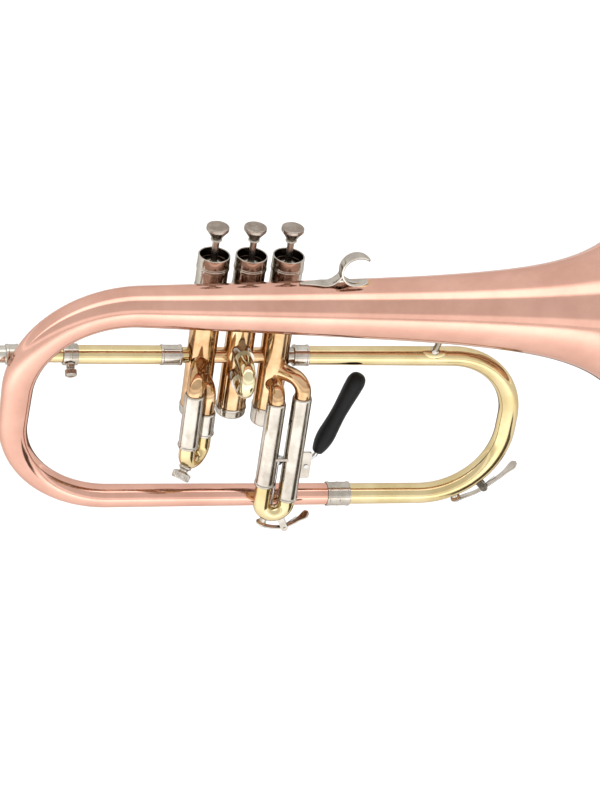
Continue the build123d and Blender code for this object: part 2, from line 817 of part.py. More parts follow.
def make_key_saddle(key, core):
    """Two lugs on the tube, the hinge pin between them and the hole's nipple."""
    pin_reach = key_width / 2 + key_lug + key_pin_end
    angle, radius = key.pivot
    lugs = []
    for side in (-1, 1):
        y = side * (key_width / 2 + key_lug_gap + key_lug / 2)
        inner = key.at(angle, key.tube_outside - key_sink, y)
        outer = key.at(angle, radius, y)
        frame = Plane(origin=inner, x_dir=outer - inner, z_dir=(0, 1, 0))
        length = (outer - inner).length
        plate = frame * Pos(length / 2, 0, -key_lug / 2) * Box(
            length, key_lug_width, key_lug, align=(Align.CENTER, Align.CENTER, Align.MIN))
        half = Vector(0, key_lug / 2, 0)
        eye = rod(outer - half, outer + half, key_eye_radius)
        lugs.append(plate + eye)
    pin = rod(key.at(angle, radius, -pin_reach), key.at(angle, radius, pin_reach), key_pin_radius)
    body = lugs[0] + lugs[1] - core + pin
    return Compound(children=[body, key_nipple(key, core)])


def make_key_lever(key):
    """Bent strip from the cork's cup over the hinge to the thumb end."""
    half = key_width / 2
    angle, radius = key.pivot
    hub = rod(key.at(angle, radius, -half), key.at(angle, radius, half), key_hub_radius)
    cork_low = key.tube_outside + nipple_height + cork_gap
    cup_low = cork_low + cork_height * cup_grip
    pocket_top = cork_low + cork_height
    cup_high = pocket_top + cup_roof
    cup = rod(key.at(key.pad[0], cup_low), key.at(key.pad[0], cup_high), cork_radius + cup_wall)
    pocket = rod(key.at(key.pad[0], cup_low - key_sink), key.at(key.pad[0], pocket_top), cork_radius + seat)
    cup -= pocket
    pad_point = key.at(key.pad[0], cup_high - key_thickness / 2)
    body = hub + cup
    for start, end in ((pad_point, key.at(angle, radius)), (key.at(angle, radius), key.at(*key.touch))):
        run = end - start
        frame = Plane(origin=start, x_dir=run, z_dir=(0, 1, 0))
        strip = frame * Pos(run.length / 2, 0, -half) * Box(
            run.length, key_thickness, key_width, align=(Align.CENTER, Align.CENTER, Align.MIN))
        body += strip - pocket
    pad_disc = key.at(*key.touch)
    out = (pad_disc - key.centre).normalized()
    out = Vector(out.X, 0, out.Z).normalized()
    body += rod(pad_disc - out * key_thickness / 2, pad_disc + out * key_thickness / 2,
                key_thumb_radius)
    bore = rod(key.at(angle, radius, -half - 1), key.at(angle, radius, half + 1), key_pin_radius + fit)
    return body - bore


def make_key_cork(key):
    low = key.tube_outside + nipple_height + cork_gap
    return rod(key.at(key.pad[0], low), key.at(key.pad[0], low + cork_height), cork_radius)


def third_slide_core():
    tops = inner_tops(third_sleeve_tops, third_sleeve_ends)
    path = crook_path(third_legs, tops, third_crook_z)
    frame = Plane(origin=Vector(*third_legs[0], tops[0]), z_dir=down)
    return sweep(frame * Circle(slide_tube), path=path)


def front_bow_core():
    """Filled lower quarter of the front bow, for trimming the water key's saddle."""
    centre = Vector(front_lower_x, 0, -front_upper_radius - front_straight)
    ring = Solid.make_torus(front_lower_radius, front_end_tube - key_trim,
                            Plane(origin=centre, z_dir=(0, 1, 0)))
    return ring


# ---- trigger of the third slide ----
trigger_arm = (trigger_x - third_centre_x) / math.cos(trigger_angle)


def make_trigger_bracket():
    """Upright plate soldered to the outer sleeve, with the hole of the shoulder screw."""
    bx, by = third_legs[1]
    back = trigger_y - trigger_plate / 2 - bracket_gap
    front = back - bracket_thickness
    below, above = bracket_sides
    plate = block((bx, trigger_x + bracket_out), (front, back), (trigger_z - below, trigger_z + above))
    plate = fillet(plate.edges().filter_by(Axis.Y).group_by(Axis.X)[-1], bracket_corner)
    plate -= rod((bx, by, trigger_z - 2 * below), (bx, by, trigger_z + 2 * above), sleeve_radius)
    return plate - rod((trigger_x, front - 1, trigger_z), (trigger_x, back + 1, trigger_z),
                       trigger_screw + seat)


def make_trigger_screw():
    back = trigger_y + trigger_plate / 2
    front = trigger_y - trigger_plate / 2 - bracket_gap - bracket_thickness
    top = back + screw_play + screw_head[1]
    shank = rod((trigger_x, front - screw_tail, trigger_z), (trigger_x, top, trigger_z), trigger_screw)
    head = rod((trigger_x, back + screw_play, trigger_z), (trigger_x, top, trigger_z), screw_head[0])
    return shank + head


def make_trigger_lever():
    """Flat hub and short arm with its pin, and the round rod that runs up into the grip."""
    low = trigger_y - trigger_plate / 2
    high = trigger_y + trigger_plate / 2
    hub_centre = Vector(trigger_x, trigger_y, trigger_z)
    tip = hub_centre + Vector(-math.cos(trigger_angle), 0, math.sin(trigger_angle)) * trigger_arm
    hub = rod((trigger_x, low, trigger_z), (trigger_x, high, trigger_z), trigger_hub)
    eye = rod((tip.X, low, tip.Z), (tip.X, high, tip.Z), trigger_eye)
    run = tip - hub_centre
    frame = Plane(origin=hub_centre, x_dir=run, z_dir=(0, 1, 0))
    arm = frame * Pos(run.length / 2, 0, 0) * Box(run.length, trigger_arm_width, trigger_plate)
    pin_end = link_y - link_thickness / 2 - trigger_pin_end
    pin = rod((tip.X, high, tip.Z), (tip.X, pin_end, tip.Z), trigger_pin)
    along = Vector(grip_end[0] - grip_start[0], 0, grip_end[1] - grip_start[1]).normalized()
    stub = Vector(grip_start[0], grip_y, grip_start[1]) - along * stem_lead
    foot = hub_centre + (stub - hub_centre).normalized() * (trigger_hub - stem_sink)
    stem = rod(foot, stub, stem_rod) + Pos(*stub) * Sphere(stem_rod)
    stem += rod(stub, stub + along * (stem_lead + grip_socket), stem_rod)
    bore = rod((trigger_x, low - 1, trigger_z), (trigger_x, high + 1, trigger_z), trigger_screw + fit)
    return hub + eye + arm + pin + (stem - hub) - bore


def make_trigger_grip():
    """Moulded rubber handle, turned about its own line: two swells and a waist."""
    start = Vector(grip_start[0], grip_y, grip_start[1])
    end = Vector(grip_end[0], grip_y, grip_end[1])
    length = (end - start).length
    outline = [(r, 0, z) for r, z in grip_outline]
    curve = Spline(*outline)
    crown = Spline(outline[-1], (grip_crown[0], 0, length - grip_crown[1]), (0, 0, length),
                   tangents=((0, 0, 1), (-1, 0, 0)))
    rest = Polyline((0, 0, length), (0, 0, 0), outline[0])
    body = revolve(make_face(curve + crown + rest), Axis.Z)
    body -= rod((0, 0, -1), (0, 0, grip_socket + stem_sink), stem_rod + seat)
    return Plane(origin=start, x_dir=(0, 1, 0), z_dir=end - start) * body


def make_trigger_link():
    """Rod in the gap between the slide's legs, from the crook up to an eye round the pin."""
    z = trigger_z + math.sin(trigger_angle) * trigger_arm
    y0 = link_y - link_thickness / 2
    y1 = link_y + link_thickness / 2
    eye = rod((third_centre_x, y0, z), (third_centre_x, y1, z), link_eye)
    eye -= rod((third_centre_x, y0, z), (third_centre_x, y1, z),
               trigger_pin + link_clearance)
    low = third_crook_z - third_crook_radius
    root = z - link_eye + link_root
    bar = rod((third_centre_x, link_y, root), (third_centre_x, link_y, low), link_radius)
    return eye + (bar - third_slide_core())


# ---- hook and braces ----
def make_finger_hook():
    """Open ring for the little finger on a long tapering foot, all of one strip."""
    top = bell_top(hook_x)
    centre = Vector(hook_x, 0, top + hook_radius - hook_strip / 2 + hook_lift)
    neck_x = hook_x - hook_neck[0]
    neck_z = centre.Z - hook_neck[1]
    tip_angle, back_angle, low_angle, neck_angle = hook_arc
    toe_x = hook_x + hook_toe

    def ring_point(degrees):
        a = math.radians(degrees)
        return centre + Vector(math.cos(a), 0, math.sin(a)) * hook_radius
    hook = ThreePointArc(ring_point(tip_angle), ring_point(back_angle), ring_point(low_angle))
    toe = Line(ring_point(low_angle), (toe_x, 0, bell_top(toe_x) + 2 * hook_lift))
    neck = ring_point(neck_angle)
    foot = Spline(neck, (neck_x, 0, neck_z), (hook_foot_x, 0, bell_top(hook_foot_x) + hook_foot_lift),
                  tangents=hook_slopes)
    body = None
    half = hook_width / 2
    for line, width in ((hook, hook_width), (toe, hook_width), (foot, hook_width)):
        start = line @ 0
        section = Plane(origin=start, x_dir=(0, 1, 0), z_dir=line % 0) * Rectangle(width, hook_strip)
        strip = sweep(section, path=line)
        body = strip if body is None else body + strip
    web_x = hook_foot_x + hook_web_start
    web_points = [ring_point(degrees) for degrees in hook_web_arc]
    web_points += [(hook_x - hook_web_end, 0, bell_top(hook_x)), (web_x, 0, bell_top(web_x)),
                   (neck_x, 0, neck_z)]
    web = extrude(make_face(Polyline(*web_points, close=True)), hook_web, dir=(0, 1, 0), both=True)
    body = (Pos(0, bell_y, 0) * (body + web)) - bell_solid()
    reach = 2 * hook_radius
    box = block((hook_foot_x - reach, hook_x + reach), (bell_y - half, bell_y + half),
                (bell_z, centre.Z + reach))
    solids = (body & box).solids()
    return max(solids, key=lambda one: one.volume)


def bell_top(x):
    """Height of the bell's upper side at x."""
    return bell_z + bell_radius(x)


def bell_radius(x):
    points = flare_outline()
    curve = Spline(*points)
    low, high = 0.0, 1.0
    for _ in range(halvings):
        middle = (low + high) / 2
        if (curve @ middle).X < x:
            low = middle
        else:
            high = middle
    return (curve @ low).Y


def make_front_brace():
    """Strut from the bell to the front bow's upper branch, with a foot on each."""
    low = Vector(brace_x, 0, 0)
    high = Vector(brace_x, bell_y, bell_z)
    run = (high - low).normalized()
    tube = blend_radius((front_start_tube, front_side_tube), 0.5)
    bell = bell_radius(brace_x)
    span = (high - low).length
    strut = rod(low, high, brace_radius)
    foot_low = rod(low + run * (tube - brace_sink), low + run * (tube + brace_foot), brace_foot_radius)
    foot_high = rod(high - run * (bell + brace_foot), high - run * (bell - brace_sink), brace_foot_radius)
    body = strut + foot_low + foot_high
    body = body - rod((brace_x - 2 * tube, 0, 0), (front_top_x, 0, 0), tube + brace_trim) - bell_solid()
    solids = body.solids()
    return max(solids, key=lambda one: one.volume)


def make_bell_saddles():
    """Shaped blocks that fill the narrow gap between the bell and the first and third casing."""
    blocks = []
    for n in (0, 2):
        x = valve_xs[n]
        body = block((x - saddle_half, x + saddle_half), (bell_y, 0),
                     (bell_z - saddle_depth, upper_casing_bottom))
        body = body - casing_core(n) - bell_solid()
        blocks.append(max(body.solids(), key=lambda one: one.volume))
    return Compound(children=blocks)


def all_parts():
    parts = {
        "bell": make_bell(),
        "bell_rim_wire": make_bell_rim_wire(),
        "bell_bow": make_bell_bow(),
        "bell_ferrule": make_bell_ferrule(),
        "front_bow": make_front_bow(),
        "exit_ferrule": make_exit_ferrule(),
        "leadpipe": make_leadpipe(),
        "inlet_ferrule": make_inlet_ferrule(),
        "mouthpipe": make_mouthpipe(),
        "mouthpiece_receiver": make_mouthpiece_receiver(),
        "tuning_clamp": make_tuning_clamp(),
        "clamp_screw": make_clamp_screw(),
        "upper_casings": make_upper_casings(),
        "valve_guides": make_valve_guides(),
        "valve_knuckles": make_valve_knuckles(),
        "first_elbows": make_elbows(0, first_legs, first_ports, first_elbows, first_sleeve_tops),
        "first_sleeves": make_sleeves(first_legs, first_sleeve_tops, first_sleeve_ends),
        "first_slide": make_slide(first_legs, first_sleeve_tops, first_sleeve_ends, first_crook_z),
        "first_slide_knob": make_first_slide_knob(),
        "second_sleeves": make_second_slide_sleeves(),
        "second_slide": make_second_slide(),
        "third_elbows": make_elbows(2, third_legs, third_ports, third_elbows, third_sleeve_tops),
        "third_sleeves": make_sleeves(third_legs, third_sleeve_tops, third_sleeve_ends),
        "third_slide": make_slide(third_legs, third_sleeve_tops, third_sleeve_ends, third_crook_z),
        "third_slide_brace": make_third_slide_brace(),
        "third_key_saddle": make_key_saddle(third_key, third_slide_core()),
        "third_key_lever": make_key_lever(third_key),
        "third_key_cork": make_key_cork(third_key),
        "front_key_saddle": make_key_saddle(front_key, front_bow_core()),
        "front_key_lever": make_key_lever(front_key),
        "front_key_cork": make_key_cork(front_key),
        "trigger_bracket": make_trigger_bracket(),
        "trigger_screw": make_trigger_screw(),
        "trigger_lever": make_trigger_lever(),
        "trigger_grip": make_trigger_grip(),
        "trigger_link": make_trigger_link(),
        "finger_hook": make_finger_hook(),
        "front_brace": make_front_brace(),
        "bell_saddles": make_bell_saddles(),
    }
    for n in range(len(valve_xs)):
        name = str(n + 1)
        parts["valve_casing_" + name] = make_valve_casing(n)
        parts["top_cap_" + name] = make_top_cap(n)
        parts["bottom_cap_" + name] = make_bottom_cap(n)
        parts["piston_" + name] = make_piston(n)
        parts["finger_button_" + name] = make_finger_button(n)
        parts["button_felt_" + name] = make_button_felt(n)
        parts["valve_spring_" + name] = make_valve_spring(n)
    return parts


os.makedirs("parts", exist_ok=True)
for node, shape in all_parts().items():
    export_step(shape, "parts/" + node + ".step")
    print(node, round(shape.volume, 1))
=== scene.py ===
import json
import math

import bmesh
import bpy
import numpy as np
from mathutils import Matrix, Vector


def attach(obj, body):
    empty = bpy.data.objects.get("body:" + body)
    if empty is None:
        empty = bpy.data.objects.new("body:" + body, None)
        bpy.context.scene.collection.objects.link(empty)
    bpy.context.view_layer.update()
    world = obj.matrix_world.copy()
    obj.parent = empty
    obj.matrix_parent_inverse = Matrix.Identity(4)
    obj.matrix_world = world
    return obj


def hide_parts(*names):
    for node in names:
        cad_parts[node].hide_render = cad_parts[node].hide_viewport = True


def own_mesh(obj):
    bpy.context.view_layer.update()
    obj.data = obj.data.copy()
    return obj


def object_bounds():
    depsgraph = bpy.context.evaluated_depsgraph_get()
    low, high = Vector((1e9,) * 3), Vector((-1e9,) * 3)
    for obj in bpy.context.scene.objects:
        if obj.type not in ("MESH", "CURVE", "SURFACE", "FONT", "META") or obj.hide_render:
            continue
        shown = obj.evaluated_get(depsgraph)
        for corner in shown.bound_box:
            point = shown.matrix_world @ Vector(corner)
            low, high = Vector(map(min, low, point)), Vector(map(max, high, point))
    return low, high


# Flugelhorn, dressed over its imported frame. Lengths in the dictionaries are millimetres.
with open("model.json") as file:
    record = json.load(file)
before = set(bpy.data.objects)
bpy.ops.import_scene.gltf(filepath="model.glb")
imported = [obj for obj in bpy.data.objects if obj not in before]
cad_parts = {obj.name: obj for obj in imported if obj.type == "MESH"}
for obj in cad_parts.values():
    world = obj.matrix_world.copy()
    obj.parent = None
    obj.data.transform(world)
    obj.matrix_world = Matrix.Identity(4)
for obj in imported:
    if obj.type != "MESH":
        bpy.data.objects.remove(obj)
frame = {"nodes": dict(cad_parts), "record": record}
cadLow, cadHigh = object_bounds()
nodes = frame["nodes"]
mm = 0.001


# camera
cameraView = {
    "aim": (233.5, -26.4, -20.6),
    "distance": 1900.0,
    "turnDegrees": -16.5,      # to the left of straight on
    "riseDegrees": 32.0,
    "rollDegrees": 8.92,
    "lens": 121.4,
}


def placeCamera(values):
    turn, rise, roll = (math.radians(values[k]) for k in ("turnDegrees", "riseDegrees", "rollDegrees"))
    right = np.array([math.cos(turn), math.sin(turn), 0.0])
    back = np.array([math.sin(turn) * math.cos(rise), -math.cos(turn) * math.cos(rise), math.sin(rise)])
    up = np.cross(back, right)
    across = math.cos(roll) * right + math.sin(roll) * up
    upward = -math.sin(roll) * right + math.cos(roll) * up
    place = (np.array(values["aim"]) + back * values["distance"]) * mm
    data = bpy.data.cameras.new("camera")
    data.sensor_fit = "VERTICAL"
    data.sensor_height = 36.0
    data.lens = values["lens"]
    data.clip_start = 0.05
    data.clip_end = 60.0
    camera = bpy.data.objects.new("camera", data)
    bpy.context.scene.collection.objects.link(camera)
    turned = np.eye(4)
    turned[:3, 0], turned[:3, 1], turned[:3, 2], turned[:3, 3] = across, upward, back, place
    camera.matrix_world = Matrix(turned.tolist())
    bpy.context.scene.camera = camera


placeCamera(cameraView)
bpy.context.scene.view_settings.view_transform = "Standard"
print("camera placed")


# materials
# sRGB hex to linear: below 0.04045 divide by 12.92, above it ((c + 0.055) / 1.055) ^ 2.4
def linear(hexColour):
    values = [int(hexColour[i:i + 2], 16) / 255 for i in (0, 2, 4)]
    return tuple(v / 12.92 if v <= 0.04045 else ((v + 0.055) / 1.055) ** 2.4 for v in values) + (1.0,)


# Adds a node, sets its own settings, then its sockets' values, then its incoming links.
def addNode(tree, kind, settings=None, inputs=None, links=None):
    node = tree.nodes.new(kind)
    for name, value in (settings or {}).items():
        setattr(node, name, value)
    for name, value in (inputs or {}).items():
        node.inputs[name].default_value = value
    for name, source in (links or {}).items():
        tree.links.new(source, node.inputs[name])
    return node


def rampStops(ramp, stops):
    while len(ramp.elements) < len(stops):
        ramp.elements.new(0.5)
    for element, (place, colour) in zip(ramp.elements, stops):
        element.position = place
        element.color = colour


# Noise scale whose features are this many millimetres apart.
def perMetre(millimetres):
    return 1.0 / (millimetres * mm)


# Noise with features of the given size, read from the vector socket, with more inputs by name.
def addNoise(tree, vector, size, detail, **more):
    return addNode(tree, "ShaderNodeTexNoise", inputs={"Scale": perMetre(size), "Detail": detail, **more},
                   links={"Vector": vector})


def newMaterial(name):
    made = bpy.data.materials.new(name)
    made.use_nodes = True
    made.node_tree.nodes.clear()
    return made, made.node_tree


def finishMaterial(tree, shader):
    addNode(tree, "ShaderNodeOutputMaterial", links={"Surface": shader.outputs[0]})


# Buffed sheet or turned metal: patches of tone, hairlines from the buffing wheel that set the
# roughness, and a slow ripple left by drawing and hand planishing. Lacquer is a clear coat.
def polishedMetal(name, values):
    made, tree = newMaterial(name)
    place = addNode(tree, "ShaderNodeTexCoord")
    patches = addNoise(tree, place.outputs["Object"], values["patchSize"], 4.0, Roughness=0.6)
    tone = addNode(tree, "ShaderNodeValToRGB", links={"Fac": patches.outputs["Fac"]})
    rampStops(tone.color_ramp, [(0.34, linear(values["dark"])), (0.56, linear(values["colour"])),
                                (0.78, linear(values["light"]))])
    stretch = addNode(tree, "ShaderNodeMapping", inputs={"Scale": values["hairStretch"]},
                      links={"Vector": place.outputs["Object"]})
    hair = addNoise(tree, stretch.outputs["Vector"], values["hairSpacing"], 3.0, Roughness=0.7)
    smear = addNoise(tree, place.outputs["Object"], values["smearSize"], 2.0)
    both = addNode(tree, "ShaderNodeMath", {"operation": "MULTIPLY"},
                   links={0: hair.outputs["Fac"], 1: smear.outputs["Fac"]})
    rough = addNode(tree, "ShaderNodeMapRange", inputs={"From Min": 0.12, "From Max": 0.42,
                    "To Min": values["roughness"][0], "To Max": values["roughness"][1]},
                    links={"Value": both.outputs[0]})
    ripple = addNoise(tree, place.outputs["Object"], values["rippleSize"], 1.5)
    wave = addNode(tree, "ShaderNodeBump", inputs={"Strength": values["ripple"], "Distance": 0.0004},
                   links={"Height": ripple.outputs["Fac"]})
    line = addNode(tree, "ShaderNodeBump", inputs={"Strength": values["hair"], "Distance": 0.00003},
                   links={"Height": hair.outputs["Fac"], "Normal": wave.outputs["Normal"]})
    shader = addNode(tree, "ShaderNodeBsdfPrincipled", inputs={"Metallic": 1.0,
                     "Specular Tint": linear(values["edge"]), "Coat Weight": values["lacquer"],
                     "Coat Roughness": 0.04, "Coat IOR": 1.5},
                     links={"Base Color": tone.outputs["Color"], "Roughness": rough.outputs["Result"],
                            "Normal": line.outputs["Normal"]})
    finishMaterial(tree, shader)
    return made


metals = {
    # copper-rich brass sheet, spun and buffed, clear lacquer: rosy with a wet, even gloss
    "lacqueredCopper": {
        "colour": "cd9f8d", "dark": "c39482", "light": "d5a896", "patchSize": 38.0,
        "hairSpacing": 1.1, "hairStretch": (0.18, 1.0, 1.0), "smearSize": 21.0, "roughness": (0.075, 0.15),
        "rippleSize": 26.0, "ripple": 0.10, "hair": 0.25, "lacquer": 0.25, "edge": "d8c8c0"},
    # drawn yellow brass tube under clear lacquer: pale gold, greener in the shade
    "lacqueredYellowBrass": {
        "colour": "c9b78c", "dark": "bda979", "light": "d3c49b", "patchSize": 30.0,
        "hairSpacing": 0.9, "hairStretch": (0.2, 1.0, 1.0), "smearSize": 17.0, "roughness": (0.08, 0.16),
        "rippleSize": 18.0, "ripple": 0.08, "hair": 0.25, "lacquer": 0.25, "edge": "d8c8c0"},
    # gold brass casings and elbows, more copper in the alloy: warm, deep and darker in the joints
    "lacqueredGoldBrass": {
        "colour": "c8a57e", "dark": "a5825a", "light": "d8bd97", "patchSize": 22.0,
        "hairSpacing": 0.8, "hairStretch": (1.0, 1.0, 0.25), "smearSize": 14.0, "roughness": (0.07, 0.15),
        "rippleSize": 14.0, "ripple": 0.08, "hair": 0.25, "lacquer": 0.25, "edge": "d8c8c0"},
    # drawn and buffed nickel silver, not lacquered: warm white metal with fine hairlines
    "buffedNickelSilver": {
        "colour": "b5aea4", "dark": "9e968b", "light": "c5bfb6", "patchSize": 16.0,
        "hairSpacing": 0.7, "hairStretch": (1.0, 1.0, 0.2), "smearSize": 12.0, "roughness": (0.08, 0.19),
        "rippleSize": 12.0, "ripple": 0.06, "hair": 0.35, "lacquer": 0.0, "edge": "c8c4c0"},
    # the buttons' nickel silver, satin from the fingers rather than bright
    "brushedNickelSilver": {
        "colour": "a1968c", "dark": "8d8177", "light": "afa59b", "patchSize": 9.0,
        "hairSpacing": 0.45, "hairStretch": (1.0, 0.25, 1.0), "smearSize": 9.0, "roughness": (0.2, 0.34),
        "rippleSize": 9.0, "ripple": 0.05, "hair": 0.5, "lacquer": 0.0, "edge": "c8c4c0"},
    # spring and screw steel, ground then polished: neutral grey, a little rougher
    "polishedSpringSteel": {
        "colour": "bcbcbc", "dark": "a3a19e", "light": "cbcbcb", "patchSize": 9.0,
        "hairSpacing": 0.5, "hairStretch": (1.0, 0.3, 1.0), "smearSize": 8.0, "roughness": (0.14, 0.28),
        "rippleSize": 8.0, "ripple": 0.05, "hair": 0.4, "lacquer": 0.0, "edge": "c8c4c0"},
}
# second slide's crook, a lighter drawing brass, polished almost white
metals["lacqueredPaleBrass"] = {**metals["lacqueredYellowBrass"],
                                "colour": "d9d0ac", "dark": "cbc094", "light": "e3dcc0"}
# lining inside a cap, nickel silver painted dark brown-grey: painted shade and painted dark reflection of the
# cap's recess
metals["paintedShadeNickelSilver"] = {
    "colour": "3f342b", "dark": "2a211a", "light": "564a3f", "patchSize": 5.0,
    "hairSpacing": 0.5, "hairStretch": (1.0, 1.0, 0.3), "smearSize": 6.0, "roughness": (0.22, 0.4),
    "rippleSize": 6.0, "ripple": 0.05, "hair": 0.5, "lacquer": 0.0, "edge": "8c8074"}
finish = {name: polishedMetal(name, values) for name, values in metals.items()}


# Black rubber straight from the mould: spark-eroded mould texture as fine pits, and a dull bloom
# where it has been handled.
def mouldedRubber(name, values):
    made, tree = newMaterial(name)
    place = addNode(tree, "ShaderNodeTexCoord")
    bloom = addNoise(tree, place.outputs["Object"], values["bloomSize"], 3.0)
    tone = addNode(tree, "ShaderNodeValToRGB", links={"Fac": bloom.outputs["Fac"]})
    rampStops(tone.color_ramp, [(0.38, linear(values["colour"])), (0.72, linear(values["bloom"]))])
    pits = addNode(tree, "ShaderNodeTexVoronoi", inputs={"Scale": perMetre(values["grainSize"])},
                   links={"Vector": place.outputs["Object"]})
    rough = addNode(tree, "ShaderNodeMapRange", inputs={"To Min": values["roughness"][0],
                    "To Max": values["roughness"][1]}, links={"Value": bloom.outputs["Fac"]})
    bump = addNode(tree, "ShaderNodeBump", inputs={"Strength": values["grain"], "Distance": 0.0001},
                   links={"Height": pits.outputs["Distance"]})
    shader = addNode(tree, "ShaderNodeBsdfPrincipled", inputs={"IOR": 1.5, "Specular IOR Level": 0.2},
                     links={"Base Color": tone.outputs["Color"], "Roughness": rough.outputs["Result"],
                            "Normal": bump.outputs["Normal"]})
    finishMaterial(tree, shader)
    return made


finish["mouldedRubber"] = mouldedRubber("mouldedRubber", {
    "colour": "050404", "bloom": "0c0b0a", "bloomSize": 9.0, "grainSize": 0.5, "grain": 0.35,
    "roughness": (0.40, 0.56)})


# Wool felt: short fibres laid every way, so a fine matted height and specks of two tones.
def pressedFelt(name, values):
    made, tree = newMaterial(name)
    place = addNode(tree, "ShaderNodeTexCoord")
    fibres = addNoise(tree, place.outputs["Object"], values["fibreSize"], 6.0, Roughness=0.75,
                      Distortion=1.2)
    tone = addNode(tree, "ShaderNodeValToRGB", links={"Fac": fibres.outputs["Fac"]})
    rampStops(tone.color_ramp, [(0.35, linear(values["dark"])), (0.65, linear(values["colour"]))])
    bump = addNode(tree, "ShaderNodeBump", inputs={"Strength": 0.8, "Distance": 0.0003},
                   links={"Height": fibres.outputs["Fac"]})
    shader = addNode(tree, "ShaderNodeBsdfPrincipled", inputs={"Roughness": 0.95, "Sheen Weight": 0.4},
                     links={"Base Color": tone.outputs["Color"], "Normal": bump.outputs["Normal"]})
    finishMaterial(tree, shader)
    return made


finish["woolFelt"] = pressedFelt("woolFelt", {"colour": "c9c2b4", "dark": "948c7e", "fibreSize": 0.35})


# Cut cork: light cells with darker grain lines and small pits.
def naturalCork(name, values):
    made, tree = newMaterial(name)
    place = addNode(tree, "ShaderNodeTexCoord")
    cells = addNode(tree, "ShaderNodeTexVoronoi", inputs={"Scale": perMetre(values["cellSize"])},
                    links={"Vector": place.outputs["Object"]})
    tone = addNode(tree, "ShaderNodeValToRGB", links={"Fac": cells.outputs["Distance"]})
    rampStops(tone.color_ramp, [(0.1, linear(values["colour"])), (0.75, linear(values["dark"]))])
    bump = addNode(tree, "ShaderNodeBump", inputs={"Strength": 0.6, "Distance": 0.0002},
                   links={"Height": cells.outputs["Distance"]})
    shader = addNode(tree, "ShaderNodeBsdfPrincipled", inputs={"Roughness": 0.85},
                     links={"Base Color": tone.outputs["Color"], "Normal": bump.outputs["Normal"]})
    finishMaterial(tree, shader)
    return made


finish["cutCork"] = naturalCork("cutCork", {"colour": "c79a68", "dark": "7d5632", "cellSize": 0.9})
print("materials:", ", ".join(sorted(finish)))

finishOfSlot = {
    "copper_bell": "lacqueredCopper", "yellow_brass": "lacqueredYellowBrass",
    "gold_brass": "lacqueredGoldBrass", "nickel_silver": "buffedNickelSilver",
    "steel": "polishedSpringSteel", "black_rubber": "mouldedRubber", "felt": "woolFelt", "cork": "cutCork",
}
slotOfNode = {row["node"]: row["material_slot"] for row in frame["record"]["subparts"]}
for name, node in nodes.items():
    made = finish[finishOfSlot[slotOfNode[name]]]
    if not node.material_slots:
        node.data.materials.append(made)
    for place in node.material_slots:
        place.material = made


# surfaces
# Outline of (along, radius, rounding) rows. Each corner is cut back by its rounding on both sides
# and bridged with the quadratic curve (1-t)^2 a + 2t(1-t) corner + t^2 b.
def roundCorners(outline, closed, steps=5):
    rows = np.array(outline, float)
    corner, cut = rows[:, :2], rows[:, 2]
    before, after = np.roll(corner, 1, 0) - corner, np.roll(corner, -1, 0) - corner
    longBefore, longAfter = np.linalg.norm(before, axis=1), np.linalg.norm(after, axis=1)
    reach = np.minimum(cut, 0.49 * np.minimum(longBefore, longAfter))
    if not closed:
        reach[[0, -1]] = 0.0
    start = corner + before * (reach / longBefore)[:, None]
    end = corner + after * (reach / longAfter)[:, None]
    t = np.linspace(0, 1, steps)[None, :, None]
    curve = (1 - t) ** 2 * start[:, None] + 2 * t * (1 - t) * corner[:, None] + t ** 2 * end[:, None]
    line = curve.reshape(-1, 2)
    keep = np.linalg.norm(line - np.roll(line, 1, 0), axis=1) > 1e-6
    keep[0] = True
    return line[keep]


# Two unit vectors square to a direction and to each other.
def crossAxes(direction):
    along = np.array(direction, float) / np.linalg.norm(direction)
    helper = np.array([0.0, 1.0, 0.0]) if abs(along[1]) < 0.9 else np.array([0.0, 0.0, 1.0])
    first = np.cross(helper, along)
    first /= np.linalg.norm(first)
    return along, first, np.cross(along, first)


# Outline (a, r) turned about a line: point(i, j) = origin + a_i D + r_i (cos q_j U + sin q_j V).
# Knurling takes ribDepth * |sin(ribs q / 2)| off the radius inside ribSpan.
def spun(line, origin, direction, around=96, ribs=0, ribDepth=0.0, ribSpan=None):
    along, first, second = crossAxes(direction)
    angle = np.linspace(0, 2 * math.pi, around, endpoint=False)
    spoke = np.cos(angle)[:, None] * first + np.sin(angle)[:, None] * second
    radius = np.repeat(line[:, 1][:, None], around, 1)
    if ribs:
        inside = (line[:, 0] >= ribSpan[0]) & (line[:, 0] <= ribSpan[1]) & (line[:, 1] >= ribSpan[2])
        radius = radius - inside[:, None] * ribDepth * (1 - np.abs(np.sin(ribs * angle / 2)))[None, :]
    return np.array(origin) + line[:, 0][:, None, None] * along + radius[:, :, None] * spoke[None]


# Centre line of runs and bends. A run adds heading * s. A bend of radius R turns about the point
# start + R w, w square to the heading: p = start + R (1 - cos t) w + R sin t h.
def layPath(start, heading, toward, moves, spacing=2.0):
    point, h, w = (np.array(v, float) for v in (start, heading, toward))
    points, headings = [point[None]], [h[None]]
    for kind, amount, radius in moves:
        if kind == "run":
            s = np.linspace(0, amount, max(2, int(abs(amount) / spacing / 2) + 1))[1:, None]
            points.append(point + h * s)
            headings.append(np.repeat(h[None], len(s), 0))
            point = point + h * amount
        else:
            turn = math.radians(amount)
            t = np.linspace(0, turn, max(6, int(turn * radius / spacing) + 2))[1:, None]
            points.append(point + radius * (1 - np.cos(t)) * w + radius * np.sin(t) * h)
            headings.append(np.cos(t) * h + np.sin(t) * w)
            point = points[-1][-1]
            h, w = headings[-1][-1], math.cos(turn) * w - math.sin(turn) * h
    return np.concatenate(points), np.concatenate(headings)


def pathLength(points):
    return np.concatenate([[0.0], np.cumsum(np.linalg.norm(np.diff(points, axis=0), axis=1))])


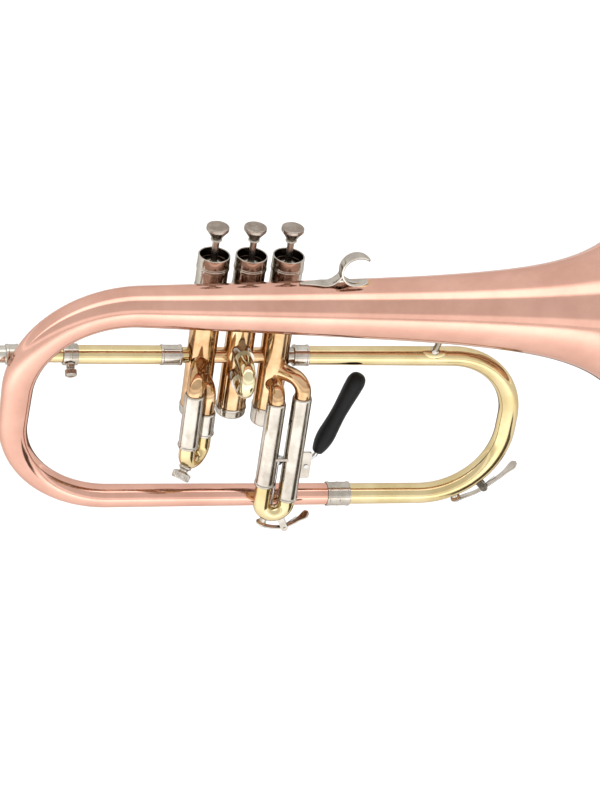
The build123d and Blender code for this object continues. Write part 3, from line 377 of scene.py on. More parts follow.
# Round tube carried along a flat path: outer wall out, lip, inner wall back, closed into a ring.
# point(i, j) = c_i + r_i (cos q_j S + sin q_j (h_i x S)), S square to the path's plane.
def carriedTube(path, outer, inner, around=64):
    points, headings = path
    side = np.cross(headings[0], headings[len(headings) // 2])
    if np.linalg.norm(side) < 1e-6:
        side = crossAxes(headings[0])[1]
    side /= np.linalg.norm(side)
    angle = np.linspace(0, 2 * math.pi, around, endpoint=False)
    up = np.cross(headings, side)
    spoke = np.cos(angle)[None, :, None] * side + np.sin(angle)[None, :, None] * up[:, None, :]
    skin = points[:, None] + np.asarray(outer)[:, None, None] * spoke
    lining = points[:, None] + np.asarray(inner)[:, None, None] * spoke
    return np.concatenate([skin, lining[::-1]])


# Natural cubic through (knot, value): second derivatives m solve the usual tridiagonal system, and
# between knots y = a y0 + b y1 + ((a^3-a) m0 + (b^3-b) m1) h^2 / 6.
def naturalSpline(knots, values, at):
    x, y = np.array(knots, float), np.array(values, float)
    h = np.diff(x)
    n = len(x)
    grid = np.eye(n)
    right = np.zeros(n)
    row = np.arange(1, n - 1)
    grid[row, row] = 2 * (h[:-1] + h[1:])
    grid[row, row - 1] = h[:-1]
    grid[row, row + 1] = h[1:]
    right[1:-1] = 6 * (np.diff(y[1:]) / h[1:] - np.diff(y[:-1]) / h[:-1])
    m = np.linalg.solve(grid, right)
    k = np.clip(np.searchsorted(x, at) - 1, 0, n - 2)
    a, b = (x[k + 1] - at) / h[k], (at - x[k]) / h[k]
    return a * y[k] + b * y[k + 1] + ((a ** 3 - a) * m[k] + (b ** 3 - b) * m[k + 1]) * h[k] ** 2 / 6


# Natural cubic through points, by distance along their chords.
def splineLine(points, count):
    rows = np.array(points, float)
    knots = pathLength(rows)
    at = np.linspace(0, knots[-1], count)
    return np.stack([naturalSpline(knots, rows[:, k], at) for k in range(rows.shape[1])], 1)


def gridFaces(rows, columns, wrapRows, first):
    cell = np.arange(rows * columns).reshape(rows, columns) + first
    below = np.roll(cell, -1, 0)
    quads = np.stack([cell, below, np.roll(below, -1, 1), np.roll(cell, -1, 1)], -1)
    return (quads if wrapRows else quads[:-1]).reshape(-1, 4)


# Grids of (points, wrapRows) in millimetres become one mesh that rides on a body.
def makePiece(name, grids, finishName, body, replaced=(), sharp=32.0):
    points = np.concatenate([grid.reshape(-1, 3) for grid, wrap in grids]) * mm
    firsts = np.cumsum([0] + [grid.shape[0] * grid.shape[1] for grid, wrap in grids])
    faces = np.concatenate([gridFaces(grid.shape[0], grid.shape[1], wrap, first)
                            for (grid, wrap), first in zip(grids, firsts)])
    mesh = bpy.data.meshes.new(name)
    mesh.vertices.add(len(points))
    mesh.vertices.foreach_set("co", points.ravel())
    mesh.loops.add(faces.size)
    mesh.loops.foreach_set("vertex_index", faces.ravel())
    mesh.polygons.add(len(faces))
    mesh.polygons.foreach_set("loop_start", np.arange(0, faces.size, 4))
    mesh.update(calc_edges=True)
    work = bmesh.new()
    work.from_mesh(mesh)
    bmesh.ops.remove_doubles(work, verts=work.verts, dist=2e-7)
    bmesh.ops.recalc_face_normals(work, faces=work.faces)
    work.to_mesh(mesh)
    work.free()
    mesh.polygons.foreach_set("use_smooth", np.ones(len(mesh.polygons), bool))
    mesh.set_sharp_from_angle(angle=math.radians(sharp))
    mesh.materials.append(finish[finishName])
    piece = bpy.data.objects.new(name, mesh)
    bpy.context.scene.collection.objects.link(piece)
    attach(piece, body)
    if replaced:
        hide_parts(*replaced)
    return piece


# bell
bell = {
    "axis": (-31.0, 57.9),     # y, z of its line
    "rim": 468.0, "start": 111.4, "wall": 0.6, "rimWire": 1.6, "rimBack": 1.5,
    "outline": [(111.4, 14.3), (198.0, 17.7), (266.6, 20.8), (323.0, 24.0), (353.4, 26.6), (382.8, 30.2),
                (412.4, 36.4), (438.5, 47.0), (455.0, 59.3), (468.0, 75.6)],
}


def makeBell(values):
    skin = splineLine(values["outline"], 230)
    slope = np.gradient(skin, axis=0)
    slope /= np.linalg.norm(slope, axis=1)[:, None]
    lining = skin + np.stack([slope[:, 1], -slope[:, 0]], 1) * values["wall"]
    lining[:, 0] = np.minimum(lining[:, 0], values["rim"] + 0.1)
    # the sheet's edge is rolled forward round the wire
    ring = np.concatenate([skin, lining[::-1]])
    origin = (0, *values["axis"])
    makePiece("bell_flare", [(spun(ring, origin, (1, 0, 0), 200), True)], "lacqueredCopper", "frame",
              ["bell"])
    end, way = skin[-1], slope[-1]
    centre = end + np.array([-way[1], way[0]]) * (values["rimWire"] + 0.3)
    centre[0] = values["rim"] - values["rimBack"]
    t = np.linspace(0, 2 * math.pi, 20, endpoint=False)
    bead = centre + values["rimWire"] * np.stack([np.cos(t), np.sin(t)], 1)
    makePiece("bell_rim_roll", [(spun(bead, origin, (1, 0, 0), 200), True)], "lacqueredCopper", "frame",
              ["bell_rim_wire"], 80.0)


makeBell(bell)
print("bell made")


# bows
bellBow = {"left": 34.2, "upper": 77.2, "straight": 28.4, "branchZ": -120.0, "branchEnd": 279.8,
           "radii": (14.3, 12.1, 10.3, 9.0, 8.5, 8.2, 7.95), "wall": 0.6}
frontBow = {"start": 232.5, "top": 348.7, "upper": 51.1, "straight": 11.2, "lower": 57.7, "end": 280.4,
            "radii": (6.8, 7.35, 7.75), "wall": 0.6}


def tubeAlong(path, radii, wall, around=72):
    run = pathLength(path[0])
    outer = naturalSpline(np.linspace(0, run[-1], len(radii)), radii, run)
    return carriedTube(path, outer, outer - wall, around)


def makeBows():
    y, z = bell["axis"]
    rise = math.hypot(y, z - bellBow["branchZ"])
    toward = np.array([0, -y, bellBow["branchZ"] - z]) / rise
    lower = rise - bellBow["upper"] - bellBow["straight"]
    tail = bellBow["branchEnd"] - bellBow["left"] - lower
    path = layPath((bell["start"], y, z), (-1, 0, 0), toward,
                   [("bend", 90, bellBow["upper"]), ("run", bellBow["straight"], 0), ("bend", 90, lower),
                    ("run", tail, 0)])
    makePiece("bell_bow_tube", [(tubeAlong(path, bellBow["radii"], bellBow["wall"]), True)],
              "lacqueredCopper", "frame", ["bell_bow"])
    lowerX = frontBow["top"] + frontBow["upper"] - frontBow["lower"]
    path = layPath((frontBow["start"], 0, 0), (1, 0, 0), (0, 0, -1),
                   [("run", frontBow["top"] - frontBow["start"], 0), ("bend", 90, frontBow["upper"]),
                    ("run", frontBow["straight"], 0), ("bend", 90, frontBow["lower"]),
                    ("run", lowerX - frontBow["end"], 0)])
    makePiece("front_bow_tube", [(tubeAlong(path, frontBow["radii"], frontBow["wall"]), True)],
              "lacqueredYellowBrass", "frame", ["front_bow"])


makeBows()
print("bows made")

# mouthpiece end and leadpipe
leadpipe = {
    "receiver": [(0, 4.95, 0.25), (0, 6.7, 0.7), (3.2, 6.7, 0.7), (3.6, 6.0, 0.4), (26.4, 6.05, 0.3),
                 (26.8, 7.3, 0.5), (28.6, 7.3, 0.5), (28.9, 6.9, 0.2), (33.6, 6.9, 0.2), (33.9, 7.3, 0.5),
                 (35.5, 7.3, 0.5), (35.5, 5.78, 0.1), (29.5, 5.78, 0.1), (29.5, 4.5, 0.1), (25, 4.5, 0.1),
                 (25, 4.9, 0.1)],
    "inletFerrule": [(135.5, 6.74, 0.1), (135.5, 7.45, 0.5), (137.1, 7.45, 0.5), (137.3, 7.15, 0.1),
                     (148.6, 7.15, 0.1), (148.8, 7.45, 0.5), (150.4, 7.45, 0.5), (150.4, 6.74, 0.1)],
    "exitFerrule": [(226.6, 5.3, 0.1), (226.6, 6.3, 0.5), (228.4, 5.8, 0.5), (230.8, 5.72, 0.3),
                    (230.8, 7.8, 0.5), (232.4, 7.8, 0.5), (232.6, 7.5, 0.1), (240.1, 7.5, 0.1),
                    (240.3, 7.8, 0.5), (241.9, 7.8, 0.5), (241.9, 6.9, 0.1), (232.5, 6.88, 0.1),
                    (232.5, 5.3, 0.1)],
    "clampCollar": [(66.4, 6.1, 0.1), (66.4, 7.7, 0.6), (70.6, 7.7, 0.3), (70.8, 7.4, 0.1),
                    (72.2, 7.4, 0.1), (72.4, 7.7, 0.3), (76.9, 7.7, 0.6), (76.9, 6.74, 0.1),
                    (66.9, 6.74, 0.1), (66.9, 6.1, 0.1)],
    "clampX": 71.65, "clampTurn": 38.0,
    "boss": [(6.9, 0.0, 0), (6.9, 3.6, 0.6), (8.0, 3.0, 0.5), (10.2, 3.0, 0.3), (10.2, 0.0, 0)],
    "knurl": (11.9, 15.2), "knurlRadius": 4.2, "knurlRibs": 24, "knurlDepth": 0.45,
    "screw": [(10.3, 0.0, 0), (10.3, 2.2, 0.2), (11.5, 2.2, 0.2), (11.5, 4.2, 0.5), (15.6, 4.2, 0.4),
              (16.0, 3.4, 0.3), (15.7, 1.2, 0.4), (15.7, 0.0, 0)],
}


def makeLeadpipe(values):
    silver = "buffedNickelSilver"

    def turned(outline):
        return spun(roundCorners(values[outline], True), (0, 0, 0), (1, 0, 0), 72), True

    makePiece("receiver_turned", [turned("receiver")], silver, "tuning_slide",
              ["mouthpiece_receiver"])
    makePiece("inlet_ferrule_turned", [turned("inletFerrule")], silver, "frame",
              ["inlet_ferrule"])
    makePiece("exit_ferrule_turned", [turned("exitFerrule")], silver, "frame",
              ["exit_ferrule"])
    turn = math.radians(values["clampTurn"])
    out = (0, -math.cos(turn), -math.sin(turn))
    origin = (values["clampX"], 0, 0)
    boss = spun(roundCorners(values["boss"], False), origin, out, 40)
    makePiece("clamp_collar", [turned("clampCollar"), (boss, False)], silver, "frame",
              ["tuning_clamp"])
    screw = roundCorners(values["screw"], False)
    first, last = values["knurl"]
    flat = np.stack([np.linspace(first, last, 7), np.full(7, values["knurlRadius"])], 1)
    screw = np.concatenate([screw[screw[:, 0] < first], flat, screw[screw[:, 0] > last]])
    knob = spun(screw, origin, out, 144, values["knurlRibs"], values["knurlDepth"], (first, last, 4.0))
    makePiece("clamp_screw_knurled", [(knob, False)], silver, "clamp_screw", ["clamp_screw"],
              50.0)


makeLeadpipe(leadpipe)
print("leadpipe fittings made")

# bell branch ferrule
bellFerrule = {"z": -120.0, "outline": [(271.8, 8.05, 0.1), (271.8, 9.1, 0.6), (273.5, 9.1, 0.6),
                                        (273.8, 8.75, 0.2), (279.6, 8.75, 0.1), (280.0, 9.0, 0.3),
                                        (280.8, 9.0, 0.3), (281.2, 8.75, 0.1), (287.0, 8.75, 0.2),
                                        (287.3, 9.1, 0.6), (289.0, 9.1, 0.6), (289.0, 8.05, 0.1)]}
ferruleGrid = spun(roundCorners(bellFerrule["outline"], True), (0, 0, bellFerrule["z"]), (1, 0, 0), 80)
makePiece("bell_ferrule_turned", [(ferruleGrid, True)], "buffedNickelSilver", "frame", ["bell_ferrule"])


# valves
valves = {
    "xs": (164.7, 191.0, 217.3), "casing": 10.3,
    "bottomEnds": (-47.7, -47.7, -55.0),
    "topCap": [(73.8, 2.55, 0.1), (76.2, 2.55, 0.2), (76.2, 5.6, 0.5), (75.0, 5.6, 0.3),
               (75.0, 10.1, 0.5), (81.5, 10.2, 0.35), (81.5, 11.2, 0.35), (74.6, 11.2, 0.1),
               (74.4, 11.0, 0.1), (74.0, 11.0, 0.1), (73.8, 11.2, 0.1), (72.9, 11.2, 0.2),
               (72.6, 11.5, 0.4), (70.8, 11.5, 0.5), (70.8, 10.25, 0.1), (73.8, 10.25, 0.1)],
    "capRecess": [(75.02, 5.75, 0), (75.02, 9.6, 0.3), (75.4, 10.04, 0.2), (80.9, 10.12, 0),
                  (80.9, 10.06, 0), (75.5, 9.96, 0.2), (75.1, 9.5, 0.2), (75.08, 5.75, 0)],
    "button": [(64.5, 0.0, 0), (64.5, 2.4, 0.2), (93.4, 2.4, 0.6), (94.4, 3.3, 0.8), (97.6, 5.2, 2.0),
               (100.6, 7.5, 0.6), (101.0, 7.9, 0.5), (103.5, 7.9, 0.7), (104.0, 7.0, 0.6),
               (103.75, 5.0, 1.0), (103.7, 0.0, 0)],
    "felt": [(92.7, 2.42, 0.2), (92.7, 4.0, 0.5), (94.1, 4.0, 0.5), (94.1, 2.42, 0.2)],
    "upper": [(56.0, 8.43, 0.1), (56.0, 11.35, 0.45), (57.6, 11.35, 0.45), (57.9, 11.0, 0.2),
              (70.75, 11.0, 0.1), (70.75, 10.2, 0.1), (73.8, 10.2, 0.2), (73.8, 8.43, 0.1)],
}


# Skirt with a bead at its mouth, a thread gap above it, and a dished floor.
def bottomCapLine(end):
    return [(end - 0.0, 0.0, 0), (end + 0.35, 2.2, 0.6), (end + 0.35, 7.4, 0.8), (end, 8.8, 0.6),
            (end, 9.9, 1.0), (end + 1.2, 10.7, 1.0), (-42.6, 10.7, 0.1), (-42.3, 11.0, 0.35),
            (-40.9, 11.0, 0.35), (-40.2, 10.7, 0.3), (-40.2, 9.55, 0.1), (end + 1.5, 9.55, 0.1),
            (end + 1.5, 0.0, 0)]


def makeValves(values):
    silver = "buffedNickelSilver"
    upward = (0, 0, 1)
    upper = roundCorners(values["upper"], True)
    uppers = [(spun(upper, (x, 0, 0), upward, 80), True) for x in values["xs"]]
    makePiece("upper_casings_turned", uppers, silver, "frame", ["upper_casings"])
    for x, end, number in zip(values["xs"], values["bottomEnds"], "123"):
        cap = roundCorners(values["topCap"], True)
        makePiece("top_cap_turned_" + number, [(spun(cap, (x, 0, 0), upward, 96), True)],
                  silver, "frame", ["top_cap_" + number])
        # a dark lining inside each cap: painted shade and painted dark reflection of the recess
        recess = roundCorners(values["capRecess"], True)
        makePiece("cap_recess_" + number, [(spun(recess, (x, 0, 0), upward, 72), True)],
                  "paintedShadeNickelSilver", "frame", ())
        low = roundCorners(bottomCapLine(end), False)
        makePiece("bottom_cap_turned_" + number, [(spun(low, (x, 0, 0), upward, 96), False)],
                  silver, "frame", ["bottom_cap_" + number])
        button = roundCorners(values["button"], False)
        makePiece("button_turned_" + number, [(spun(button, (x, 0, 0), upward, 72), False)],
                  "brushedNickelSilver", "valve_" + number, ["finger_button_" + number])
        felt = roundCorners(values["felt"], True)
        makePiece("felt_ring_" + number, [(spun(felt, (x, 0, 0), upward, 48), True)],
                  "woolFelt", "valve_" + number, ["button_felt_" + number])


makeValves(valves)
print("valves made")

# valve slides
slides = {
    "elbow": 5.7, "bore": 5.2, "tube": 6.0, "wall": 0.7, "sleeve": 6.95, "sleeveTop": 3.0,
    "sleeveBore": 6.03, "sleeveThroat": 5.74, "sleeveLip": 7.6,
    "firstLegs": ((156.1, -31.5), (169.0, -18.5)), "firstPorts": (-2.0, -16.0), "firstBends": (10.0, 8.4),
    "firstTops": (-12.3, -35.0), "firstEnds": (-56.0, -53.8), "firstCrookZ": -62.2,
    "thirdLegs": ((219.0, -19.0), (237.2, -19.0)), "thirdPorts": (-18.2, -9.5), "thirdBends": (8.4, 10.6),
    "thirdTops": (-27.0, -22.5), "thirdEnds": (-97.6, -110.0), "thirdCrookZ": -114.1,
    "reach": 34.0, "solder": 0.8,
    "secondTube": 5.4, "secondWall": 0.6, "secondStart": 3.0, "legGap": 1.5, "secondPorts": (8.7, -10.3),
    "secondEnd": -19.5, "secondCrookY": -28.0,
}


# Level run from the casing, a quarter bend and a short drop. The first ring is laid on the casing:
# its distance out is sqrt(R^2 - l^2), l its sideways offset. Solder adds f (1 - s/2)^2 near the
# casing.
def elbowGrid(values, x, leg, port, bend, end):
    start = np.array([x, 0.0, port])
    over = np.array([leg[0], leg[1], port])
    span = np.linalg.norm(over - start)
    heading = (over - start) / span
    near = valves["casing"] - 1.5
    path = layPath(start + heading * near, heading, (0, 0, -1),
                   [("run", span - near - bend, 0), ("bend", 90, bend), ("run", port - bend - end, 0)], 1.2)
    run = pathLength(path[0])
    collar = values["solder"] * np.clip(1 - (run - 1.2) / 2.0, 0, 1) ** 2
    outer = values["elbow"] + np.minimum(collar, values["solder"])
    grid = carriedTube(path, outer, np.full(len(run), values["bore"]), 56)
    side = np.array([-heading[1], heading[0], 0.0])
    for row in (0, -1):
        offset = grid[row] - start
        sideways, out = offset @ side, offset @ heading
        onCasing = np.sqrt((valves["casing"] - 0.15) ** 2 - sideways ** 2)
        grid[row] += (onCasing - out)[:, None] * heading
    return grid, True


def sleeveGrid(values, leg, top, end):
    bore, throat, lip = values["sleeveBore"], values["sleeveThroat"], values["sleeveLip"]
    floor = top - values["sleeveTop"]
    line = [(end, bore, 0.1), (end, 7.3, 0.4), (end + 0.7, lip, 0.4), (end + 1.7, lip, 0.4),
            (end + 2.4, 7.0, 0.3), (top - 1.0, values["sleeve"], 0.4), (top, 6.5, 0.4),
            (top, throat, 0.1), (floor, throat, 0.1), (floor, bore, 0.1)]
    return spun(roundCorners(line, True), (leg[0], leg[1], 0), (0, 0, 1), 64), True


# Down one inner leg, half a turn, up the other: a round tube carried along that line.
def crookGrid(values, legs, tops, ends, crookZ):
    (ax, ay), (bx, by) = legs
    starts = [min(end + values["reach"], top - values["sleeveTop"] - values["legGap"])
              for top, end in zip(tops, ends)]
    width = math.hypot(bx - ax, by - ay)
    across = ((bx - ax) / width, (by - ay) / width, 0)
    path = layPath((ax, ay, starts[0]), (0, 0, -1), across,
                   [("run", starts[0] - crookZ, 0), ("bend", 180, width / 2),
                    ("run", starts[1] - crookZ, 0)], 1.0)
    outer = np.full(len(path[0]), values["tube"])
    return carriedTube(path, outer, outer - values["wall"], 64), True


def makeSlides(values):
    gold, silver, yellow = "lacqueredGoldBrass", "buffedNickelSilver", "lacqueredYellowBrass"
    for name, x in (("first", valves["xs"][0]), ("third", valves["xs"][2])):
        legs, ports, bends = (values[name + part] for part in ("Legs", "Ports", "Bends"))
        tops, ends, crookZ = (values[name + part] for part in ("Tops", "Ends", "CrookZ"))
        elbows = [elbowGrid(values, x, leg, port, bend, top - values["sleeveTop"])
                  for leg, port, bend, top in zip(legs, ports, bends, tops)]
        makePiece(name + "_elbow_tubes", elbows, gold, "frame", [name + "_elbows"], 50.0)
        sleeves = [sleeveGrid(values, leg, top, end) for leg, top, end in zip(legs, tops, ends)]
        makePiece(name + "_sleeve_tubes", sleeves, silver, "frame", [name + "_sleeves"])
        makePiece(name + "_slide_crook", [crookGrid(values, legs, tops, ends, crookZ)], yellow,
                  name + "_slide", [name + "_slide"])
    x, high, low = valves["xs"][1], *values["secondPorts"]
    start = -valves["casing"] - values["secondStart"]
    path = layPath((x, start, high), (0, -1, 0), (0, 0, -1),
                   [("run", start - values["secondCrookY"], 0), ("bend", 180, (high - low) / 2),
                    ("run", start - values["secondCrookY"], 0)], 0.9)
    outer = np.full(len(path[0]), values["secondTube"])
    crook = carriedTube(path, outer, outer - values["secondWall"], 60)
    makePiece("second_slide_crook", [(crook, True)], "lacqueredPaleBrass", "second_slide",
              ["second_slide"])


makeSlides(slides)
print("slides made")

# first slide's pull knob
pullKnob = {"legs": slides["firstLegs"], "turn": 52.0, "ribs": 20, "ribDepth": 0.5, "sink": 1.2,
            "standOff": 1.0,
            "outline": [(-0.9, 0.0, 0), (-0.9, 4.6, 0.4), (0.6, 4.6, 0.7), (1.6, 3.2, 0.8), (3.2, 3.0, 0.5),
                        (3.8, 5.6, 0.6), (4.6, 6.6, 0.4), (5.0, 6.6, 0.0), (6.0, 6.6, 0.0), (7.0, 6.6, 0.0),
                        (8.2, 6.6, 0.0), (8.6, 6.6, 0.4), (9.4, 5.6, 0.6), (9.2, 2.4, 0.6), (9.2, 0.0, 0)]}


def makePullKnob(values):
    (ax, ay), (bx, by) = values["legs"]
    width = math.hypot(bx - ax, by - ay)
    side = np.array([(ax - bx) / width, (ay - by) / width, 0])
    turn = math.radians(values["turn"])
    out = side * math.cos(turn) + np.array([0, 0, -1]) * math.sin(turn)
    middle = np.array([(ax + bx) / 2, (ay + by) / 2, slides["firstCrookZ"]])
    base = middle + out * (width / 2 + slides["tube"] - values["sink"])
    line = roundCorners(values["outline"], False)
    knob = spun(line, base + out * values["standOff"], out, 160, values["ribs"], values["ribDepth"],
                (4.8, 8.4, 6.4))
    makePiece("pull_knob", [(knob, False)], "buffedNickelSilver", "first_slide", ["first_slide_knob"],
              50.0)


makePullKnob(pullKnob)
print("pull knob made")

# trigger grip
grip = {"low": (257.2, -9.4, -75.8), "high": (279.6, -9.4, -9.8), "socket": 1.75,
        "line": [(3.9, 0.0), (4.9, 3.0), (6.1, 8.0), (6.65, 13.0), (6.3, 22.0), (5.75, 33.0), (6.05, 45.0),
                 (6.65, 56.0), (6.8, 61.0), (6.3, 65.5), (4.6, 68.5), (2.2, 69.6), (0.0, 69.75)]}


def makeGrip(values):
    low, high = np.array(values["low"]), np.array(values["high"])
    curve = splineLine([(a, r) for r, a in values["line"]], 70)
    curve[-1, 1] = 0.0
    socket = values["socket"]
    mouth = np.array([[2.0, 0.0], [2.0, socket], [0.3, socket], [0.0, socket + 0.3], [0.0, 3.4],
                      [0.15, 3.75]])
    line = np.concatenate([mouth, curve[1:]])
    # a moulded collar line near the top, a quarter of a millimetre deep
    line[:, 1] -= 0.25 * np.exp(-((line[:, 0] - 58.5) / 0.35) ** 2)
    makePiece("grip_moulding", [(spun(line, low, high - low, 72), False)], "mouldedRubber", "trigger",
              ["trigger_grip"], 40.0)


makeGrip(grip)
print("grip made")


# bent strip pieces
# Rounded bar carried along a curve: point(i, j) = c_i + w_i |cos q|^p sgn(cos q) S + t_i |sin q|^p
# sgn(sin q) (h_i x S), p = 0.35 for a flat bar with eased corners. Ends close on their centres.
def bentStrip(points, side, widths, thicks, around=28):
    heading = np.gradient(points, axis=0)
    heading /= np.linalg.norm(heading, axis=1)[:, None]
    side = np.array(side, float)
    up = np.cross(heading, side)
    angle = np.linspace(0, 2 * math.pi, around, endpoint=False)
    wide = np.sign(np.cos(angle)) * np.abs(np.cos(angle)) ** 0.35
    thick = np.sign(np.sin(angle)) * np.abs(np.sin(angle)) ** 0.35
    grid = (points[:, None] + (widths[:, None] * wide)[:, :, None] * side
            + (thicks[:, None] * thick)[:, :, None] * up[:, None, :])
    first = np.repeat(points[:1], around, 0)[None]
    last = np.repeat(points[-1:], around, 0)[None]
    return np.concatenate([first, grid, last]), False


# Helix: point(t, q) = c + pitch t D / 2pi + (R + w cos q)(cos t U + sin t V) + w sin q D
def coiledWire(centre, axis, radius, wire, turns, pitch, startTurn=0.0, around=10):
    along, first, second = crossAxes(axis)
    t = np.linspace(0, 2 * math.pi * turns, int(36 * turns))
    q = np.linspace(0, 2 * math.pi, around, endpoint=False)
    spoke = np.cos(t + startTurn)[:, None] * first + np.sin(t + startTurn)[:, None] * second
    middle = np.array(centre) + (pitch * t / (2 * math.pi))[:, None] * along
    grid = (middle[:, None] + (radius + wire * np.cos(q))[None, :, None] * spoke[:, None]
            + (wire * np.sin(q))[None, :, None] * along)
    ends = [np.repeat((middle[k] + radius * spoke[k])[None], around, 0)[None] for k in (0, -1)]
    return np.concatenate([ends[0], grid, ends[1]]), False


waterKeys = {
    "front": {"centre": (342.1, 0, -62.3), "outside": 65.35, "pad": 64.0, "pivot": (46.0, 71.8),
              "line": [(64.0, 70.8), (58.0, 71.3), (51.0, 72.9), (46.0, 73.3), (40.0, 73.9), (32.0, 75.6),
                       (26.0, 77.0), (23.0, 78.3)]},
    "third": {"centre": (228.1, -19.0, -114.1), "outside": 15.1, "pad": 112.0, "pivot": (64.0, 22.6),
              "line": [(112.0, 20.5), (98.0, 20.9), (82.0, 22.0), (64.0, 23.6), (46.0, 24.4), (30.0, 26.0),
                       (18.0, 28.4)]},
}


keySpring = {"radius": 2.1, "wire": 0.26, "turns": 5, "pitch": 0.76, "legWire": 0.28, "side": 1.9}


def makeWaterKey(name, values, body):
    centre = np.array(values["centre"])

    def at(angle, radius, y=0.0):
        turn = np.radians(angle)
        return centre + np.stack([radius * np.cos(turn), np.full_like(turn, y), -radius * np.sin(turn)], -1)

    knots = np.array(values["line"])
    spots = splineLine(at(knots[:, 0], knots[:, 1]), 60)
    share = np.linspace(0, 1, 60)
    # narrow over the hinge, a leaf-shaped thumb end
    widths = 2.5 - 0.55 * np.sin(math.pi * np.clip(share * 1.25, 0, 1))
    widths += 2.0 * np.exp(-((share - 0.93) / 0.1) ** 2)
    widths[-3:] *= np.array([0.85, 0.65, 0.35])
    widths[0] *= 0.7
    strip = bentStrip(spots, (0, 1, 0), widths, np.full(60, 0.72))
    out = at(np.array(values["pad"]), 1.0) - centre
    tube = values["outside"]
    cup = [(tube + 3.65, 3.28, 0.1), (tube + 3.65, 4.0, 0.2), (tube + 5.1, 4.0, 0.7),
           (tube + 5.9, 2.6, 0.8), (tube + 5.9, 0.0, 0)]
    inner = [(tube + 4.5, 0.0, 0), (tube + 4.5, 3.28, 0.1)]
    cupGrid = (spun(roundCorners(inner + cup, False), centre, out, 40), False)
    angle, radius = values["pivot"]
    hinge = at(np.array(angle), radius)
    hub = [(-2.5, 1.03, 0.1), (-2.5, 2.1, 0.25), (2.5, 2.1, 0.25), (2.5, 1.03, 0.1)]
    hubGrid = (spun(roundCorners(hub, True), hinge, (0, 1, 0), 32), True)
    makePiece(name + "_key_strip", [strip, cupGrid, hubGrid], "buffedNickelSilver", body,
              [name + "_key_lever"], 45.0)
    side, wireHalf = keySpring["side"], keySpring["legWire"]
    coil = coiledWire(hinge + np.array([0, -side, 0]), (0, 1, 0), keySpring["radius"], keySpring["wire"],
                      keySpring["turns"], keySpring["pitch"])
    legEnd = at(np.array(angle - 9.0 * 71.8 / radius), radius + 0.9)
    leg = splineLine([hinge + np.array([0, side, -2.4]), (hinge + legEnd) / 2 + np.array([0, side, -1.0]),
                      legEnd + np.array([0, 1.6, 0])], 12)
    wire = bentStrip(leg, (0, 1, 0), np.full(12, wireHalf), np.full(12, wireHalf), 10)
    makePiece(name + "_key_spring", [coil, wire], "polishedSpringSteel", body, (), 60.0)
    cork = [(tube + 2.45, 0.0, 0), (tube + 2.45, 3.2, 0.3), (tube + 4.45, 3.2, 0.3), (tube + 4.45, 0.0, 0)]
    makePiece(name + "_key_cork_disc", [(spun(roundCorners(cork, False), centre, out, 36), False)],
              "cutCork", body, [name + "_key_cork"])


makeWaterKey("front", waterKeys["front"], "front_key")
makeWaterKey("third", waterKeys["third"], "third_key")
print("water keys made")

# return springs inside the pistons' barrels, coiled here at one fixed length
returnSpring = {"foot": 36.0, "low": 36.8, "high": 63.7, "radius": 6.5, "wire": 0.45, "turns": 6,
                "stroke": 15.5}


def makeReturnSprings(values):
    height = values["high"] - values["low"]
    for number, x in zip("123", valves["xs"]):
        coil = coiledWire((x, 0, values["low"]), (0, 0, 1), values["radius"], values["wire"], values["turns"],
                          height / values["turns"])
        spring = makePiece("return_spring_" + number, [coil], "polishedSpringSteel", "frame",
                           ["valve_spring_" + number], 60.0)
        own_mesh(spring)


makeReturnSprings(returnSpring)
print("return springs made")

# finger hook
hook = {
    "x": 258.0, "ring": 11.0, "rise": 10.4, "half": 1.0,
    "tipAngle": 44.0, "arcEnd": 262.0, "toeAngle": 272.0, "toeReach": 8.5, "neckAngle": 176.0,
    "halfWidth": 4.5, "footX": (219.0, 226.0, 233.0, 240.0), "footLift": 0.7,
    "neckLine": ((244.6, 3.0), (247.3, 7.6)),      # x, height above the bell
    "webX": (236.0, 241.0, 246.0, 251.0, 256.0, 261.0), "webLift": (0.2, 0.7, 1.4, 1.3, 0.7, 0.3),
    "webHalf": 1.6, "webDepth": (0.4, 1.4, 2.2, 1.2, 0.5),
}


def bellRadius(x):
    line = splineLine(bell["outline"], 400)
    return np.interp(x, line[:, 0], line[:, 1])


